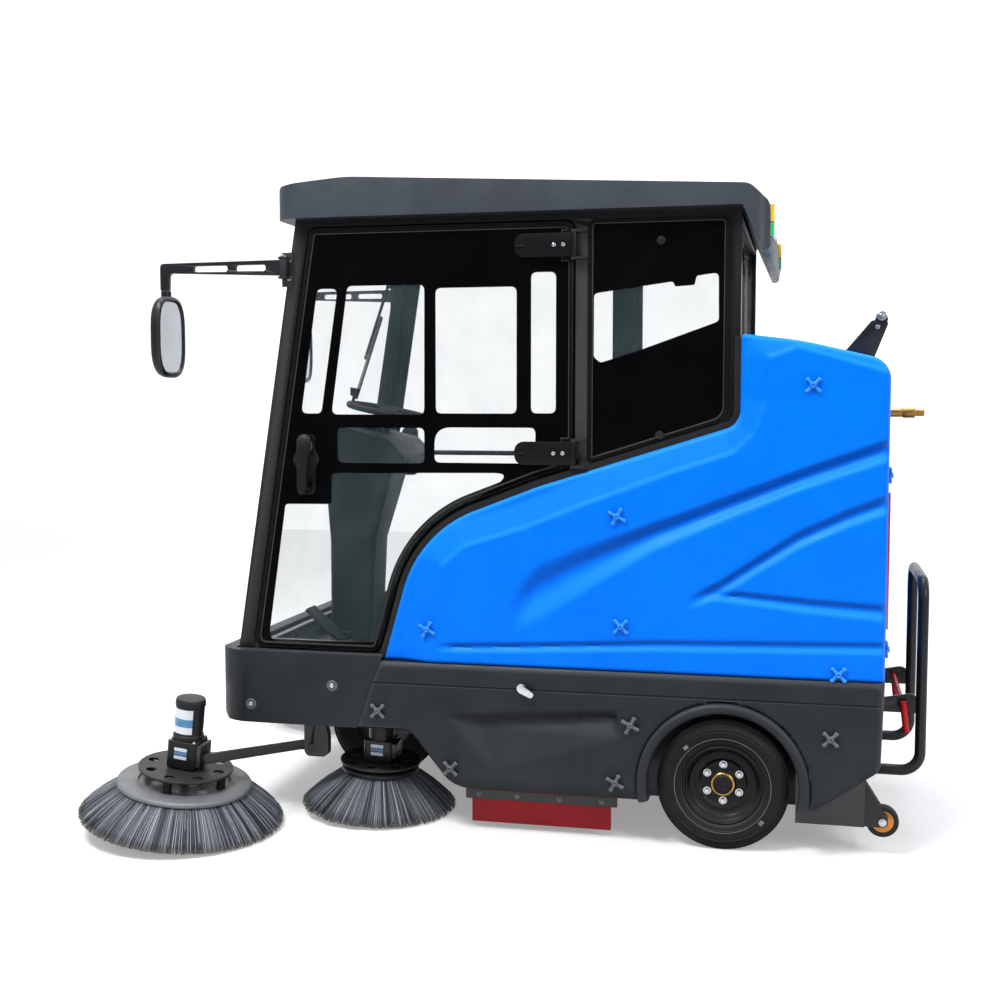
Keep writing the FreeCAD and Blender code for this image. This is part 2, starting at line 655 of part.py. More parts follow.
def side_skirts():
    """Red rubber side flaps of the main brush with their clamping strips."""
    flap = box(SKIRT_FRONT_X, SKIRT_REAR_X, -SKIRT_Y - SKIRT_THICK, -SKIRT_Y, SKIRT_BOTTOM, SKIRT_TOP)
    strip = box(SKIRT_FRONT_X - 20.0, SKIRT_REAR_X + 20.0, -SKIRT_Y - SKIRT_THICK - 6.0,
                -SKIRT_Y - SKIRT_THICK, SKIRT_TOP - 28.0, SKIRT_TOP + 4.0)
    hanger = box(SKIRT_FRONT_X - 20.0, SKIRT_REAR_X + 20.0, -SKIRT_Y, -SKIRT_Y + 4.0,
                 SKIRT_TOP - 28.0, FLOOR_TOP - FLOOR_THICK)
    lugs = box(CRADLE_PIVOT_X - 34.0, CRADLE_PIVOT_X + 34.0, -SKIRT_Y - 1.0, -SKIRT_Y + 6.0,
               400.0, FLOOR_TOP - FLOOR_THICK + 1.0)
    return both_sides(group(flap, strip, hanger.cut(lugs)))


# ---- blue body ------------------------------------------------------------------------
def body_panel():
    return tray(panel_outline(), PANEL_WALL, -PANEL_HALF_WIDTH, -PANEL_HALF_WIDTH + PANEL_DEPTH)


def rear_hood():
    """Top and rear skin between the side panels."""
    outline = panel_outline()
    closed = [(PANEL_EDGE_X, BELT_TOP, 0.0)] + outline[4:]
    inner = grown(outline, -PANEL_WALL)
    hollow = [(PANEL_EDGE_X - 10.0, BELT_TOP - 10.0, 0.0),
              (PANEL_EDGE_X - 10.0, inner[4][1], 0.0), inner[5], inner[6], (inner[7][0], BELT_TOP - 10.0,
                      0.0)]
    half = PANEL_HALF_WIDTH - PANEL_DEPTH
    return side_plate(closed, -half, half).cut(side_plate(hollow, -half - 1, half + 1))


def star_knob(x, y, z, angle):
    """Four-armed screw knob on a left side wall at y."""
    hub = rod((x, y, z), (x, y - 16.0, z), 10.0)
    arms = []
    for turn in (0.0, 90.0):
        arm = box(x - KNOB_ARM, x + KNOB_ARM, y - 13.0, y - 3.0, z - 4.0, z + 4.0)
        arm.rotate(vec(x, y, z), vec(0, 1, 0), angle + turn)
        arms.append(arm)
    return fuse(hub, *arms)


def star_knobs(places, half_width):
    knobs = []
    for index, (x, z) in enumerate(places):
        knob = star_knob(x, -half_width, z, 45.0 + 17.0 * (index % 2))
        knobs += [knob, mirrored(knob)]
    return knobs


def blue_knobs():
    knobs = star_knobs(BLUE_KNOBS, PANEL_HALF_WIDTH)
    for y in (-545.0, 545.0):
        for z in (650.0, 1190.0):
            knob = star_knob(0.0, 0.0, 0.0, 45.0)
            knob.rotate(vec(0, 0, 0), vec(0, 0, 1), 90.0)
            knob.translate(vec(REAR_X, y, z))
            knobs.append(knob)
    return group(*knobs)


def dark_knobs():
    knobs = star_knobs(DARK_KNOBS, COVER_HALF_WIDTH)
    for x, z in BUMPER_SCREWS:
        screw = rod((x, -BUMPER_HALF_WIDTH, z), (x, -BUMPER_HALF_WIDTH - 5.0, z), 11.0)
        knobs += [screw, mirrored(screw)]
    return group(*knobs)


# ---- cab ------------------------------------------------------------------------------
def cab_side():
    out = -CAB_HALF_WIDTH
    side = side_plate(cab_side_outline(), out, out + PILLAR_DEPTH)
    door = side_plate(grown(door_outline(), DOOR_GAP), out - 1, out + PILLAR_DEPTH + 1)
    quarter = side_plate(quarter_outline(), out - 1, out + PILLAR_DEPTH + 1)
    return side.cut(door).cut(quarter)


def hinge_lugs():
    """Pins and lugs on the B pillar for the left door."""
    pieces = []
    for z in HINGE_LEVELS:
        pieces.append(rod((HINGE_X, -HINGE_Y, z - 10.0), (HINGE_X, -HINGE_Y, z + HINGE_HEIGHT + 10.0),
                          HINGE_PIN_R))
        for z0 in (z - 10.0, z + HINGE_HEIGHT + 1.0):
            pieces.append(box(HINGE_X - 8.0, HINGE_X + 40.0, -HINGE_Y - 8.0, -CAB_HALF_WIDTH - 10.0, z0,
                              z0 + 9.0))
            pieces.append(box(HINGE_X + 6.0, HINGE_X + 40.0, -HINGE_Y, -CAB_HALF_WIDTH + 1.0, z0, z0 + 9.0))
    return pieces


def cab_frame():
    inside = CAB_HALF_WIDTH - PILLAR_DEPTH
    pieces = []
    for piece in [cab_side(), mirror_bracket()] + hinge_lugs():
        pieces += [piece, mirrored(piece)]
    foot = box(a_pillar_x(FLOOR_TOP) + 4.0, a_pillar_x(FLOOR_TOP) + 60.0, -CAB_HALF_WIDTH, -inside,
               FLOOR_TOP, SILL_BOTTOM + 5.0)
    rear_x = PANEL_EDGE_X - FRAME_TO_PANEL
    post = box(rear_x - C_PILLAR_WIDTH, rear_x, -CAB_HALF_WIDTH, -inside, FLOOR_TOP, 1340.0)
    pieces += [foot, mirrored(foot), post, mirrored(post)]
    back = A_PILLAR_WIDTH - 24.0
    for low, high in ((FLOOR_TOP, SILL_TOP), (CAB_TOP - 44.0, CAB_TOP)):
        pieces.append(side_plate([(a_pillar_x(low) + back, low, 0), (a_pillar_x(low) + back + 24.0, low, 0),
                                  (a_pillar_x(high) + back + 24.0, high, 0), (a_pillar_x(high) + back,
                                          high, 0)],
                                 -inside - 1, inside + 1))
    pieces.append(box(rear_x - C_PILLAR_WIDTH, rear_x, -inside - 1, inside + 1, CAB_TOP - 30.0, CAB_TOP))
    pieces.append(box(rear_x - 6.0, rear_x, -inside - 1, inside + 1, FLOOR_TOP, 1345.0))
    pieces.append(box(rear_x - C_PILLAR_WIDTH, rear_x, -inside - 1, inside + 1, 1310.0, 1345.0))
    return fuse(*pieces)


def roof():
    """Deep plastic roof, thickest at the front, with a raked lip over the rear window."""
    front = ROOF_FRONT_X
    rear = ROOF_REAR_X
    lip_x = rear - ROOF_LIP_DEPTH
    root_x = PANEL_EDGE_X
    wall = ROOF_WALL
    crest_x = front + 260.0
    outer = [(front, CAB_TOP, 14.0), (front, ROOF_FRONT_TOP, 34.0), (crest_x, ROOF_TOP, 500.0),
             (rear - 68.0, ROOF_REAR_TOP, 50.0), (rear - 8.0, 2020.0, 30.0), (rear, 1915.0, 20.0),
             (rear - 4.0, ROOF_LIP_BOTTOM, 12.0), (lip_x, ROOF_LIP_BOTTOM, 8.0), (root_x, CAB_TOP, 0.0)]
    inner = [(front + wall, CAB_TOP - 5.0, 0.0), (front + wall, ROOF_FRONT_TOP - wall, 26.0),
             (crest_x, ROOF_TOP - wall, 500.0), (rear - 74.0, ROOF_REAR_TOP - wall, 42.0),
             (root_x - 18.0, 2030.0, 10.0), (root_x - 18.0, CAB_TOP - 5.0, 0.0)]
    half = ROOF_HALF_WIDTH
    block = side_plate(outer, -half, half)
    plan = plan_plate([(front, -half, ROOF_CORNER_R), (rear, -half, ROOF_CORNER_R / 2),
                       (rear, half, ROOF_CORNER_R / 2), (front, half, ROOF_CORNER_R)],
                      ROOF_LIP_BOTTOM - 10.0, ROOF_TOP + 10.0)
    rim = half - ROOF_RIM
    hollow = side_plate(inner, -half + wall, half - wall)
    corner = ROOF_CORNER_R - wall
    hollow_plan = plan_plate([(front + wall, -half + wall, corner), (rear, -half + wall, 20.0),
                              (rear, half - wall, 20.0), (front + wall, half - wall, corner)],
                             CAB_TOP + 10.0, ROOF_TOP + 10.0)
    mouth = box(front + ROOF_RIM, root_x - 24.0, -rim, rim, CAB_TOP - 10.0, CAB_TOP + 12.0)
    return block.common(plan).cut(fuse(hollow.common(hollow_plan), mouth.common(hollow)))


def windshield():
    low = SILL_TOP - 12.0
    high = CAB_TOP - 2.0
    inside = CAB_HALF_WIDTH - PILLAR_DEPTH - 1.0
    lead = 18.0
    return side_plate([(a_pillar_x(low) + lead, low, 0), (a_pillar_x(low) + lead + GLASS_THICK, low, 0),
                       (a_pillar_x(high) + lead + GLASS_THICK, high, 0), (a_pillar_x(high) + lead, high, 0)],
                      -inside, inside)


def cab_glass():
    """Windshield, quarter windows between B and C pillars, and rear window."""
    out = -CAB_HALF_WIDTH
    quarter = side_plate(grown(quarter_outline(), -0.5), out + 2.0, out + 2.0 + GLASS_THICK)
    studs = []
    for z in (1310.0, 1915.0):
        studs.append(rod((-210.0, out + 2.0, z), (-210.0, out - 6.0, z), 14.0))
    inside = CAB_HALF_WIDTH - PILLAR_DEPTH - 1.0
    rear_x = PANEL_EDGE_X - FRAME_TO_PANEL
    rear = box(rear_x - 14.0, rear_x - 14.0 + GLASS_THICK, -inside, inside, 1345.5, CAB_TOP - 30.5)
    return group(windshield(), quarter, mirrored(quarter), rear, *studs, *[mirrored(stud) for stud in studs])


def door_frame():
    """Steel ring of the left door with its hinge leaves, grab bar and handle base."""
    glass_y = DOOR_GLASS_Y
    ring = side_ring(door_outline(), DOOR_RING, glass_y, glass_y + DOOR_FRAME_THICK)
    bar_y = glass_y + DOOR_FRAME_THICK + GRAB_BAR_R - 3.0
    bar = rod((a_pillar_x(GRAB_BAR_Z) + A_PILLAR_WIDTH + 20.0, bar_y, GRAB_BAR_Z),
              (GRAB_BAR_END_X, bar_y, GRAB_BAR_Z), GRAB_BAR_R)
    pieces = [ring, bar]
    skin = DOOR_SKIN_Y
    for z in HINGE_LEVELS:
        leaf = side_plate([(HINGE_X - HINGE_LEAF, z, 30.0), (HINGE_X, z, 0), (HINGE_X, z + HINGE_HEIGHT, 0),
                           (HINGE_X - HINGE_LEAF, z + HINGE_HEIGHT, 30.0)], -HINGE_Y - 6.0, skin - 0.5)
        pad = box(HINGE_X - 28.0, HINGE_X - 10.0, skin - 1.0, glass_y + 4.0, z + 4.0,
                  z + HINGE_HEIGHT - 4.0)
        knuckle = rod((HINGE_X, -HINGE_Y, z), (HINGE_X, -HINGE_Y, z + HINGE_HEIGHT), HINGE_KNUCKLE_R)
        pieces += [leaf, pad, knuckle]
    frame = fuse(*pieces)
    pins = fuse(*[rod((HINGE_X, -HINGE_Y, z - 1.0), (HINGE_X, -HINGE_Y, z + HINGE_HEIGHT + 1.0),
                      HINGE_PIN_R + RUNNING_GAP) for z in HINGE_LEVELS])
    base = side_plate([(HANDLE_X - 34.0, HANDLE_Z - 100.0, 20.0), (HANDLE_X + 34.0, HANDLE_Z - 100.0, 20.0),
                       (HANDLE_X + 34.0, HANDLE_Z + 100.0, 20.0), (HANDLE_X - 34.0, HANDLE_Z + 100.0, 20.0)],
                      skin - HANDLE_BASE, skin)
    return group(frame.cut(pins), base)


def door_glass():
    glass_y = DOOR_GLASS_Y
    glass = side_plate(grown(door_outline(), -2.0), DOOR_SKIN_Y, glass_y)
    pads = [box(HINGE_X - 30.0, HINGE_X, DOOR_SKIN_Y - 1.0, glass_y + 1.0, z, z + HINGE_HEIGHT)
            for z in HINGE_LEVELS]
    return glass.cut(fuse(*pads))


def door_handle():
    """Pull lever of the left door, hinged on a barrel at its lower end."""
    skin = DOOR_SKIN_Y - HANDLE_BASE
    half = HANDLE_LENGTH / 2
    low = HANDLE_Z - half
    arm = HANDLE_HALF_WIDTH
    outline = [(HANDLE_X - arm - 1.0, low, 12.0), (HANDLE_X + arm + 1.0, low, 12.0),
               (HANDLE_X + arm + 1.0, HANDLE_Z + half, 12.0), (HANDLE_X - arm - 1.0, HANDLE_Z + half, 12.0)]
    grip = side_plate(outline, skin - 34.0, skin - 18.0)
    pivot_y = skin - HANDLE_PIVOT_OUT
    pivot_z = low + HANDLE_PIVOT_UP
    barrel = rod((HANDLE_X - arm, pivot_y, pivot_z), (HANDLE_X + arm, pivot_y, pivot_z), HANDLE_BARREL_R)
    foot = box(HANDLE_X - arm, HANDLE_X + arm, skin - 20.0, pivot_y, pivot_z - HANDLE_BARREL_R,
               pivot_z + HANDLE_BARREL_R)
    head = box(HANDLE_X - arm, HANDLE_X + arm, skin - 20.0, skin - 1.0, HANDLE_Z + half - 34.0,
               HANDLE_Z + half - 2.0)
    return fuse(grip, barrel, foot, head)


def wiper_plane():
    """Point of the windshield's outer face at the wiper pin and the outward normal."""
    x = a_pillar_x(WIPER_Z) + 18.0
    run = hypot(1.0, A_PILLAR_SLOPE)
    return vec(x, WIPER_Y, WIPER_Z), vec(-1.0 / run, 0, A_PILLAR_SLOPE / run)


def wiper():
    """Wiper arm and blade, built in the windshield's plane and then leaned back onto it."""
    centre, normal = wiper_plane()
    pin = rod((0, 0, 2.0), (0, 0, 26.0), WIPER_PIN_R)
    arm = box(-7.0, 7.0, -WIPER_LENGTH * 0.62, 10.0, 16.0, 24.0)
    blade = box(-9.0, 9.0, -WIPER_LENGTH, -WIPER_LENGTH * 0.28, 2.5, 12.0)
    link = box(-6.0, 6.0, -WIPER_LENGTH * 0.66, -WIPER_LENGTH * 0.58, 11.0, 24.0)
    shape = fuse(pin, arm, blade, link)
    shape.rotate(vec(0, 0, 0), vec(0, 0, 1), WIPER_ANGLE)
    # local y goes up the glass, local z is the outward normal, local x runs to the left side
    up = vec(A_PILLAR_SLOPE, 0, 1).normalize()
    across = up.cross(normal)
    matrix = FreeCAD.Matrix(across.x, up.x, normal.x, centre.x, across.y, up.y, normal.y, centre.y,
                            across.z, up.z, normal.z, centre.z, 0, 0, 0, 1)
    shape.transformShape(matrix)
    return shape


# ---- driver's place -------------------------------------------------------------------
def steering_axis():
    angle = radians(WHEEL_TILT)
    return vec(sin(angle), 0, cos(angle))


def along_column(distance):
    point = vec(*WHEEL_CENTRE) + steering_axis() * distance
    return (point.x, point.y, point.z)


def pedestal_block(inset):
    """Tapered foot of the steering pedestal, narrower by inset on each side."""
    rings = []
    for z, x0, x1, half in ((FLOOR_TOP, -1496.0, -1338.0, 95.0), (900.0, -1496.0, -1318.0, 95.0),
                            (1165.0, -1508.0, -1242.0, 120.0)):
        wire = rounded_wire([(x0 + inset, -half + inset, z, 30.0 - inset),
                             (x1 - inset, -half + inset, z, 30.0 - inset),
                             (x1 - inset, half - inset, z, 30.0 - inset), (x0 + inset, half - inset, z,
                                     30.0 - inset)])
        rings.append(wire)
    return Part.makeLoft(rings, True, True)


def steering_pedestal():
    foot = pedestal_block(0.0).cut(pedestal_block(6.0))
    outline = [(-1492.0, 1165.0, 16.0), (-1190.0, 1165.0, 20.0), (-1168.0, 1215.0, 20.0),
               (-1230.0, 1278.0, 40.0), (-1400.0, 1322.0, 30.0), (-1470.0, 1312.0, 24.0)]
    dash = side_plate(outline, -DASH_HALF_WIDTH, DASH_HALF_WIDTH)
    hollow = side_plate(grown(outline, -6.0), -DASH_HALF_WIDTH + 6.0, DASH_HALF_WIDTH - 6.0)
    throat = box(-1450.0, -1290.0, -80.0, 80.0, 1150.0, 1180.0)
    column = rod(along_column(-210.0), along_column(-30.0), COLUMN_R)
    pin = rod(along_column(-40.0), along_column(12.0), COLUMN_PIN_R)
    shell = fuse(foot, dash.cut(hollow)).cut(throat)
    stem_room = rod((-WHEELBASE, 0, FLOOR_TOP - 1), (-WHEELBASE, 0, FLOOR_TOP + 30.0), FORK_STEM_R + 8.0)
    return fuse(shell, column, pin).cut(stem_room)


def steering_wheel():
    rim = Part.makeTorus(STEERING_R, STEERING_RIM_R)
    hub = Part.makeCylinder(34.0, 34.0, vec(0, 0, -26.0))
    bore = Part.makeCylinder(COLUMN_PIN_R + RUNNING_GAP, 40.0, vec(0, 0, -27.0))
    spokes = []
    for angle in (0.0, 120.0, 240.0):
        spoke = box(20.0, STEERING_R, -11.0, 11.0, -10.0, -2.0)
        spoke.rotate(vec(0, 0, 0), vec(0, 0, 1), angle + 60.0)
        spokes.append(spoke)
    knob_stem = Part.makeCylinder(6.0, 46.0, vec(-STEERING_R + 4.0, 0, 0))
    knob = Part.makeCone(15.0, 20.0, 30.0, vec(-STEERING_R + 4.0, 0, 30.0))
    wheel = fuse(rim, hub, *spokes, knob_stem, knob).cut(bore)
    wheel.rotate(vec(0, 0, 0), vec(0, 1, 0), WHEEL_TILT)
    wheel.translate(vec(*WHEEL_CENTRE))
    return wheel


def pedal_ears():
    x, y = PEDAL_X, PEDAL_Y
    ears = [box(x - 14.0, x + 14.0, y + side * 52.0 - 5.0, y + side * 52.0 + 5.0, FLOOR_TOP,
                FLOOR_TOP + 34.0)
            for side in (-1, 1)]
    pin = rod((x, y - 57.0, FLOOR_TOP + 22.0), (x, y + 57.0, FLOOR_TOP + 22.0), PEDAL_PIN_R)
    return ears + [pin]


def foot_pedal():
    """Pedal plate that slopes up towards the front, hinged at its heel."""
    x, y = PEDAL_X, PEDAL_Y
    z = FLOOR_TOP + 22.0
    plate = box(-PEDAL_LENGTH, 0.0, -42.0, 42.0, 2.0, 14.0)
    tube = Part.makeCylinder(12.0, 84.0, vec(0, -42.0, 0), vec(0, 1, 0))
    stem = box(-PEDAL_LENGTH * 0.62, -PEDAL_LENGTH * 0.5, -12.0, 12.0, -46.0, 4.0)
    pedal = fuse(plate, tube,
                 stem).cut(Part.makeCylinder(PEDAL_PIN_R + RUNNING_GAP, 90.0, vec(0, -45.0, 0), vec(0, 1, 0)))
    pedal.rotate(vec(0, 0, 0), vec(0, 1, 0), 42.0)
    pedal.translate(vec(x, y, z))
    return pedal


def seat_box():
    pan = box(SEAT_FRONT_X + 60.0, SEAT_REAR_X, -SEAT_HALF_WIDTH + 20.0, SEAT_HALF_WIDTH - 20.0,
              FLOOR_TOP, SEAT_BASE_TOP)
    hollow = box(SEAT_FRONT_X + 64.0, SEAT_REAR_X - 4.0, -SEAT_HALF_WIDTH + 24.0, SEAT_HALF_WIDTH - 24.0,
                 FLOOR_TOP - 1, SEAT_BASE_TOP - 4.0)
    return pan.cut(hollow)


def seat_cushion():
    low = SEAT_BASE_TOP + 1.0
    half = SEAT_HALF_WIDTH
    return plan_plate([(SEAT_FRONT_X, -half, 50.0), (SEAT_REAR_X, -half, 40.0), (SEAT_REAR_X, half, 40.0),
                       (SEAT_FRONT_X, half, 50.0)], low, low + SEAT_CUSHION)


def seat_back():
    low = SEAT_BASE_TOP + 20.0
    top = SEAT_BACK_TOP
    shift = 70.0
    half = SEAT_HALF_WIDTH - 10.0
    x0 = SEAT_REAR_X + 1.0
    return side_plate([(x0, low, 12.0), (x0 + 90.0, low, 20.0), (x0 + 90.0 + shift, top, 30.0),
                       (x0 + shift, top, 30.0)], -half, half)


# ---- machinery inside -----------------------------------------------------------------
def battery_pack():
    cells = []
    for index in range(4):
        y0 = -470.0 + index * 235.0
        cells.append(box(BATTERY_X, BATTERY_X + BATTERY_LENGTH, y0 + 3.0, y0 + 232.0, FLOOR_TOP,
                         FLOOR_TOP + 270.0))
    return group(*cells)


def vacuum_fan():
    """Suction fan with its filter box over the hopper."""
    x, z = FAN_X, FAN_Z
    scroll = rod((x, -150.0, z), (x, -30.0, z), FAN_R)
    motor = rod((x, -30.0, z), (x, 90.0, z), 70.0)
    duct = box(x - 40.0, x + 40.0, -130.0, -50.0, FLOOR_TOP, z - 80.0)
    return fuse(scroll, motor, duct)


def water_tank():
    return plan_plate([(60.0, -480.0, 30.0), (430.0, -480.0, 30.0), (430.0, 480.0, 30.0),
                       (60.0, 480.0, 30.0)],
                      960.0, 1280.0)


# ---- side brushes ---------------------------------------------------------------------
def brush_levels(brush):
    """Heights above the bristle rim of the ring, disc, gear box and motor."""
    ring = brush["bristle"]
    disc = ring + RING_THICK + brush["spacer"]
    gear = disc + DISC_THICK + DRIVE_GAP
    motor = gear + brush["box_h"]
    return ring, disc, gear, motor


def brush_bristles(brush):
    """Flared skirt of bristles, one closed solid, with its hollow middle."""
    height = brush["bristle"]
    root = brush["root_r"]
    outer = Part.makeCone(brush["rim"], root, height)
    core = Part.makeCone(brush["rim"] - BRISTLE_THICK, root - BRISTLE_THICK, height)
    return lean(outer.cut(core), brush)


def turned(places, radius, bottom, height, circle_r):
    """Round posts evenly spaced on a circle about the Z axis."""
    posts = []
    for index in range(places):
        angle = 2 * pi * index / places
        centre = vec(circle_r * cos(angle), circle_r * sin(angle), bottom)
        posts.append(Part.makeCylinder(radius, height, centre))
    return fuse(*posts)


def brush_head(brush):
    """Clamp ring on a carrier plate, with the drive disc on spacers above it."""
    ring, disc, _, _ = brush_levels(brush)
    hole = brush["ring_hole"]
    annulus = Part.makeCylinder(brush["root_r"] + RING_EDGE, RING_THICK, vec(0, 0, ring))
    annulus = annulus.cut(Part.makeCylinder(hole, RING_THICK, vec(0, 0, ring + DISC_THICK)))
    spacers = turned(SPACERS, SPACER_R, ring + DISC_THICK, disc - ring, hole - SPACER_R - 6.0)
    wheel = Part.makeCylinder(brush["disc_r"], DISC_THICK, vec(0, 0, disc))
    holes = turned(DISC_HOLES, DISC_HOLE_R, disc - 1.0, DISC_THICK + 2.0, brush["disc_r"] - 2 * DISC_HOLE_R)
    stem = Part.makeCylinder(BRUSH_SHAFT_R, disc - ring, vec(0, 0, ring + 1.0))
    return lean(fuse(annulus, wheel.cut(holes), spacers, stem), brush)


def brush_motor(brush):
    gear, motor = brush_levels(brush)[2:]
    half = brush["box"] / 2
    case = plan_plate([(-half, -half, 14.0), (half, -half, 14.0), (half, half, 14.0), (-half, half, 14.0)],
                      gear, motor)
    can = Part.makeCylinder(brush["motor_r"], brush["motor_h"], vec(0, 0, motor))
    return lean(fuse(case, can), brush)


def brush_arm(brush, pivot):
    """Flat arm from the frame's pin to a plate beside the gear box of a left brush."""
    gear, motor = brush_levels(brush)[2:]
    x, y, z = pivot
    half = brush["box"] / 2
    pad = lean(box(half, half + 14.0, -half + 10.0, half - 10.0, gear + 12.0, motor - 8.0), brush)
    centre = on_brush_axis(brush, gear + 40.0)
    level = z - 16.0
    near = (centre.x + half + 20.0, centre.y)
    bar = plan_plate([(x - 40.0, -y - 6.0, 0), (x - 40.0, -y + 6.0, 0), (near[0] + 20.0, near[1] + 22.0, 0),
                      (near[0] - 14.0, near[1] + 22.0, 0), (near[0] - 14.0, near[1] - 22.0, 0),
                      (near[0] + 4.0, near[1] - 22.0, 0)], level, level + 32.0)
    eye = side_plate([(x - 44.0, level, 0), (x + 22.0, level, 14.0), (x + 22.0, level + 36.0, 14.0),
                      (x - 44.0, level + 32.0, 0)], -y - ARM_THICK / 2, -y + ARM_THICK / 2)
    arm = fuse(pad, bar, eye)
    bore = rod((x, -y - 20.0, z), (x, -y + 20.0, z), PIVOT_R + RUNNING_GAP)
    return arm.cut(bore).cut(brush_motor(brush))


# ---- main brush -----------------------------------------------------------------------
def main_brush():
    """Roller: a core tube and four double rows of bristles wound round it."""
    z = MAIN_BRUSH_R + MAIN_BRUSH_LIFT
    half = MAIN_BRUSH_HALF
    core = rod((MAIN_BRUSH_X, -half, z), (MAIN_BRUSH_X, half, z), MAIN_CORE_R)
    rows = []
    for index in range(8):
        row = box(MAIN_BRUSH_X, MAIN_BRUSH_X + MAIN_BRUSH_R, -half + 12.0, half - 12.0, z - 14.0, z + 14.0)
        row.rotate(vec(MAIN_BRUSH_X, 0, z), vec(0, 1, 0), 45.0 * index)
        rows.append(row)
    tips = rod((MAIN_BRUSH_X, -half, z), (MAIN_BRUSH_X, half, z), MAIN_BRUSH_R)
    bore = rod((MAIN_BRUSH_X, -half - 1, z), (MAIN_BRUSH_X, half + 1, z), CRADLE_PIN_R + RUNNING_GAP)
    return fuse(core, *[row.common(tips) for row in rows]).cut(bore)


def brush_cradle():
    """Swinging carrier of the main brush: cross tube, two side plates and the brush axle."""
    z = MAIN_BRUSH_R + MAIN_BRUSH_LIFT
    plate_y = -MAIN_BRUSH_HALF - 4.0
    plate = side_plate([(CRADLE_PIVOT_X - 30.0, CRADLE_PIVOT_Z - 20.0, 18.0),
                        (MAIN_BRUSH_X - 28.0, z - 28.0, 24.0),
                        (MAIN_BRUSH_X + 28.0, z - 20.0, 24.0), (MAIN_BRUSH_X + 20.0, z + 40.0, 20.0),
                        (CRADLE_PIVOT_X + 30.0, CRADLE_PIVOT_Z + 30.0, 20.0),
                        (CRADLE_PIVOT_X - 30.0, CRADLE_PIVOT_Z + 30.0, 20.0)],
                       plate_y - CRADLE_PLATE, plate_y)
    tube = rod((CRADLE_PIVOT_X, plate_y, CRADLE_PIVOT_Z), (CRADLE_PIVOT_X, -plate_y, CRADLE_PIVOT_Z),
               CRADLE_TUBE_R)
    pin_end = plate_y - CRADLE_PLATE - 18.0
    pin = rod((CRADLE_PIVOT_X, pin_end, CRADLE_PIVOT_Z), (CRADLE_PIVOT_X, -pin_end, CRADLE_PIVOT_Z),
              CRADLE_PIN_R)
    axle = rod((MAIN_BRUSH_X, plate_y - 4.0, z), (MAIN_BRUSH_X, -plate_y + 4.0, z), CRADLE_PIN_R)
    return fuse(plate, mirrored(plate), tube, pin, axle)


# ---- hopper ---------------------------------------------------------------------------
def hopper():
    """Waste box between the rear wheels, open at its front above a low lip."""
    def block(inset, top):
        narrow = box(HOPPER_FRONT_X + inset, HOPPER_STEP_X + 20.0, -HOPPER_NARROW + inset,
                     HOPPER_NARROW - inset,
                     HOPPER_BOTTOM + inset, top)
        wide = box(HOPPER_STEP_X + inset, HOPPER_REAR_X - inset, -HOPPER_WIDE + inset, HOPPER_WIDE - inset,
                   HOPPER_BOTTOM + inset, top)
        return fuse(narrow, wide)
    mouth = box(HOPPER_FRONT_X - 5.0, HOPPER_FRONT_X + 20.0, -HOPPER_NARROW + 40.0, HOPPER_NARROW - 40.0,
                HOPPER_BOTTOM + 70.0, HOPPER_TOP - 40.0)
    body = block(0.0, HOPPER_TOP).cut(block(HOPPER_WALL, HOPPER_TOP - HOPPER_WALL)).cut(mouth)
    forks = []
    for side in (-1, 1):
        for step in (-1, 1):
            y = side * CASTOR_Y + step * (CASTOR_WIDTH / 2 + 5.0)
            forks.append(side_plate([(HOPPER_REAR_X - 1.0, 240.0, 0), (HOPPER_REAR_X - 1.0, 96.0, 0),
                                     (CASTOR_X + 16.0, CASTOR_Z - 16.0, 14.0), (CASTOR_X + 16.0,
                                             CASTOR_Z + 16.0, 14.0)],
                                    y - 2.5, y + 2.5))
        y0 = side * CASTOR_Y - CASTOR_WIDTH / 2 - 9.0
        forks.append(rod((CASTOR_X, y0, CASTOR_Z), (CASTOR_X, y0 + CASTOR_WIDTH + 18.0, CASTOR_Z),
                         CASTOR_AXLE_R))
    return fuse(body, *forks)


def castor():
    y = -CASTOR_Y
    half = CASTOR_WIDTH / 2
    wheel = revolved([(CASTOR_AXLE_R + RUNNING_GAP, y - half, 0), (CASTOR_R, y - half, 5.0),
                      (CASTOR_R, y + half, 5.0), (CASTOR_AXLE_R + RUNNING_GAP, y + half,
                                                  0)], CASTOR_X, CASTOR_Z)
    return wheel


def push_handle():
    """Tubular loop bolted to the hopper's rear wall with two stay plates."""
    x, y = HANDLE_LOOP_X, HANDLE_LOOP_Y
    low, top, bend = HANDLE_LOOP_BOTTOM, HANDLE_LOOP_TOP, HANDLE_BEND
    loop = bent_tube([(HOPPER_REAR_X, -y, low, 0), (x, -y, low, bend), (x, -y, top, bend), (x, y, top, bend),
                      (x, y, low, bend), (HOPPER_REAR_X, y, low, 0)], HANDLE_TUBE_R)
    stays = []
    for side in (-1, 1):
        y0 = side * y
        stays.append(side_plate([(HOPPER_REAR_X, 385.0, 0), (x - 8.0, 385.0, 12.0), (x - 8.0, 455.0, 30.0),
                                 (HOPPER_REAR_X, 420.0, 0)], y0 - 5.0, y0 + 5.0))
    loop = fuse(loop, *stays)
    bore = rod((LATCH_X, -y - 60.0, LATCH_Z), (LATCH_X, y + 60.0, LATCH_Z), LATCH_SHAFT_R + RUNNING_GAP)
    return loop.cut(bore)


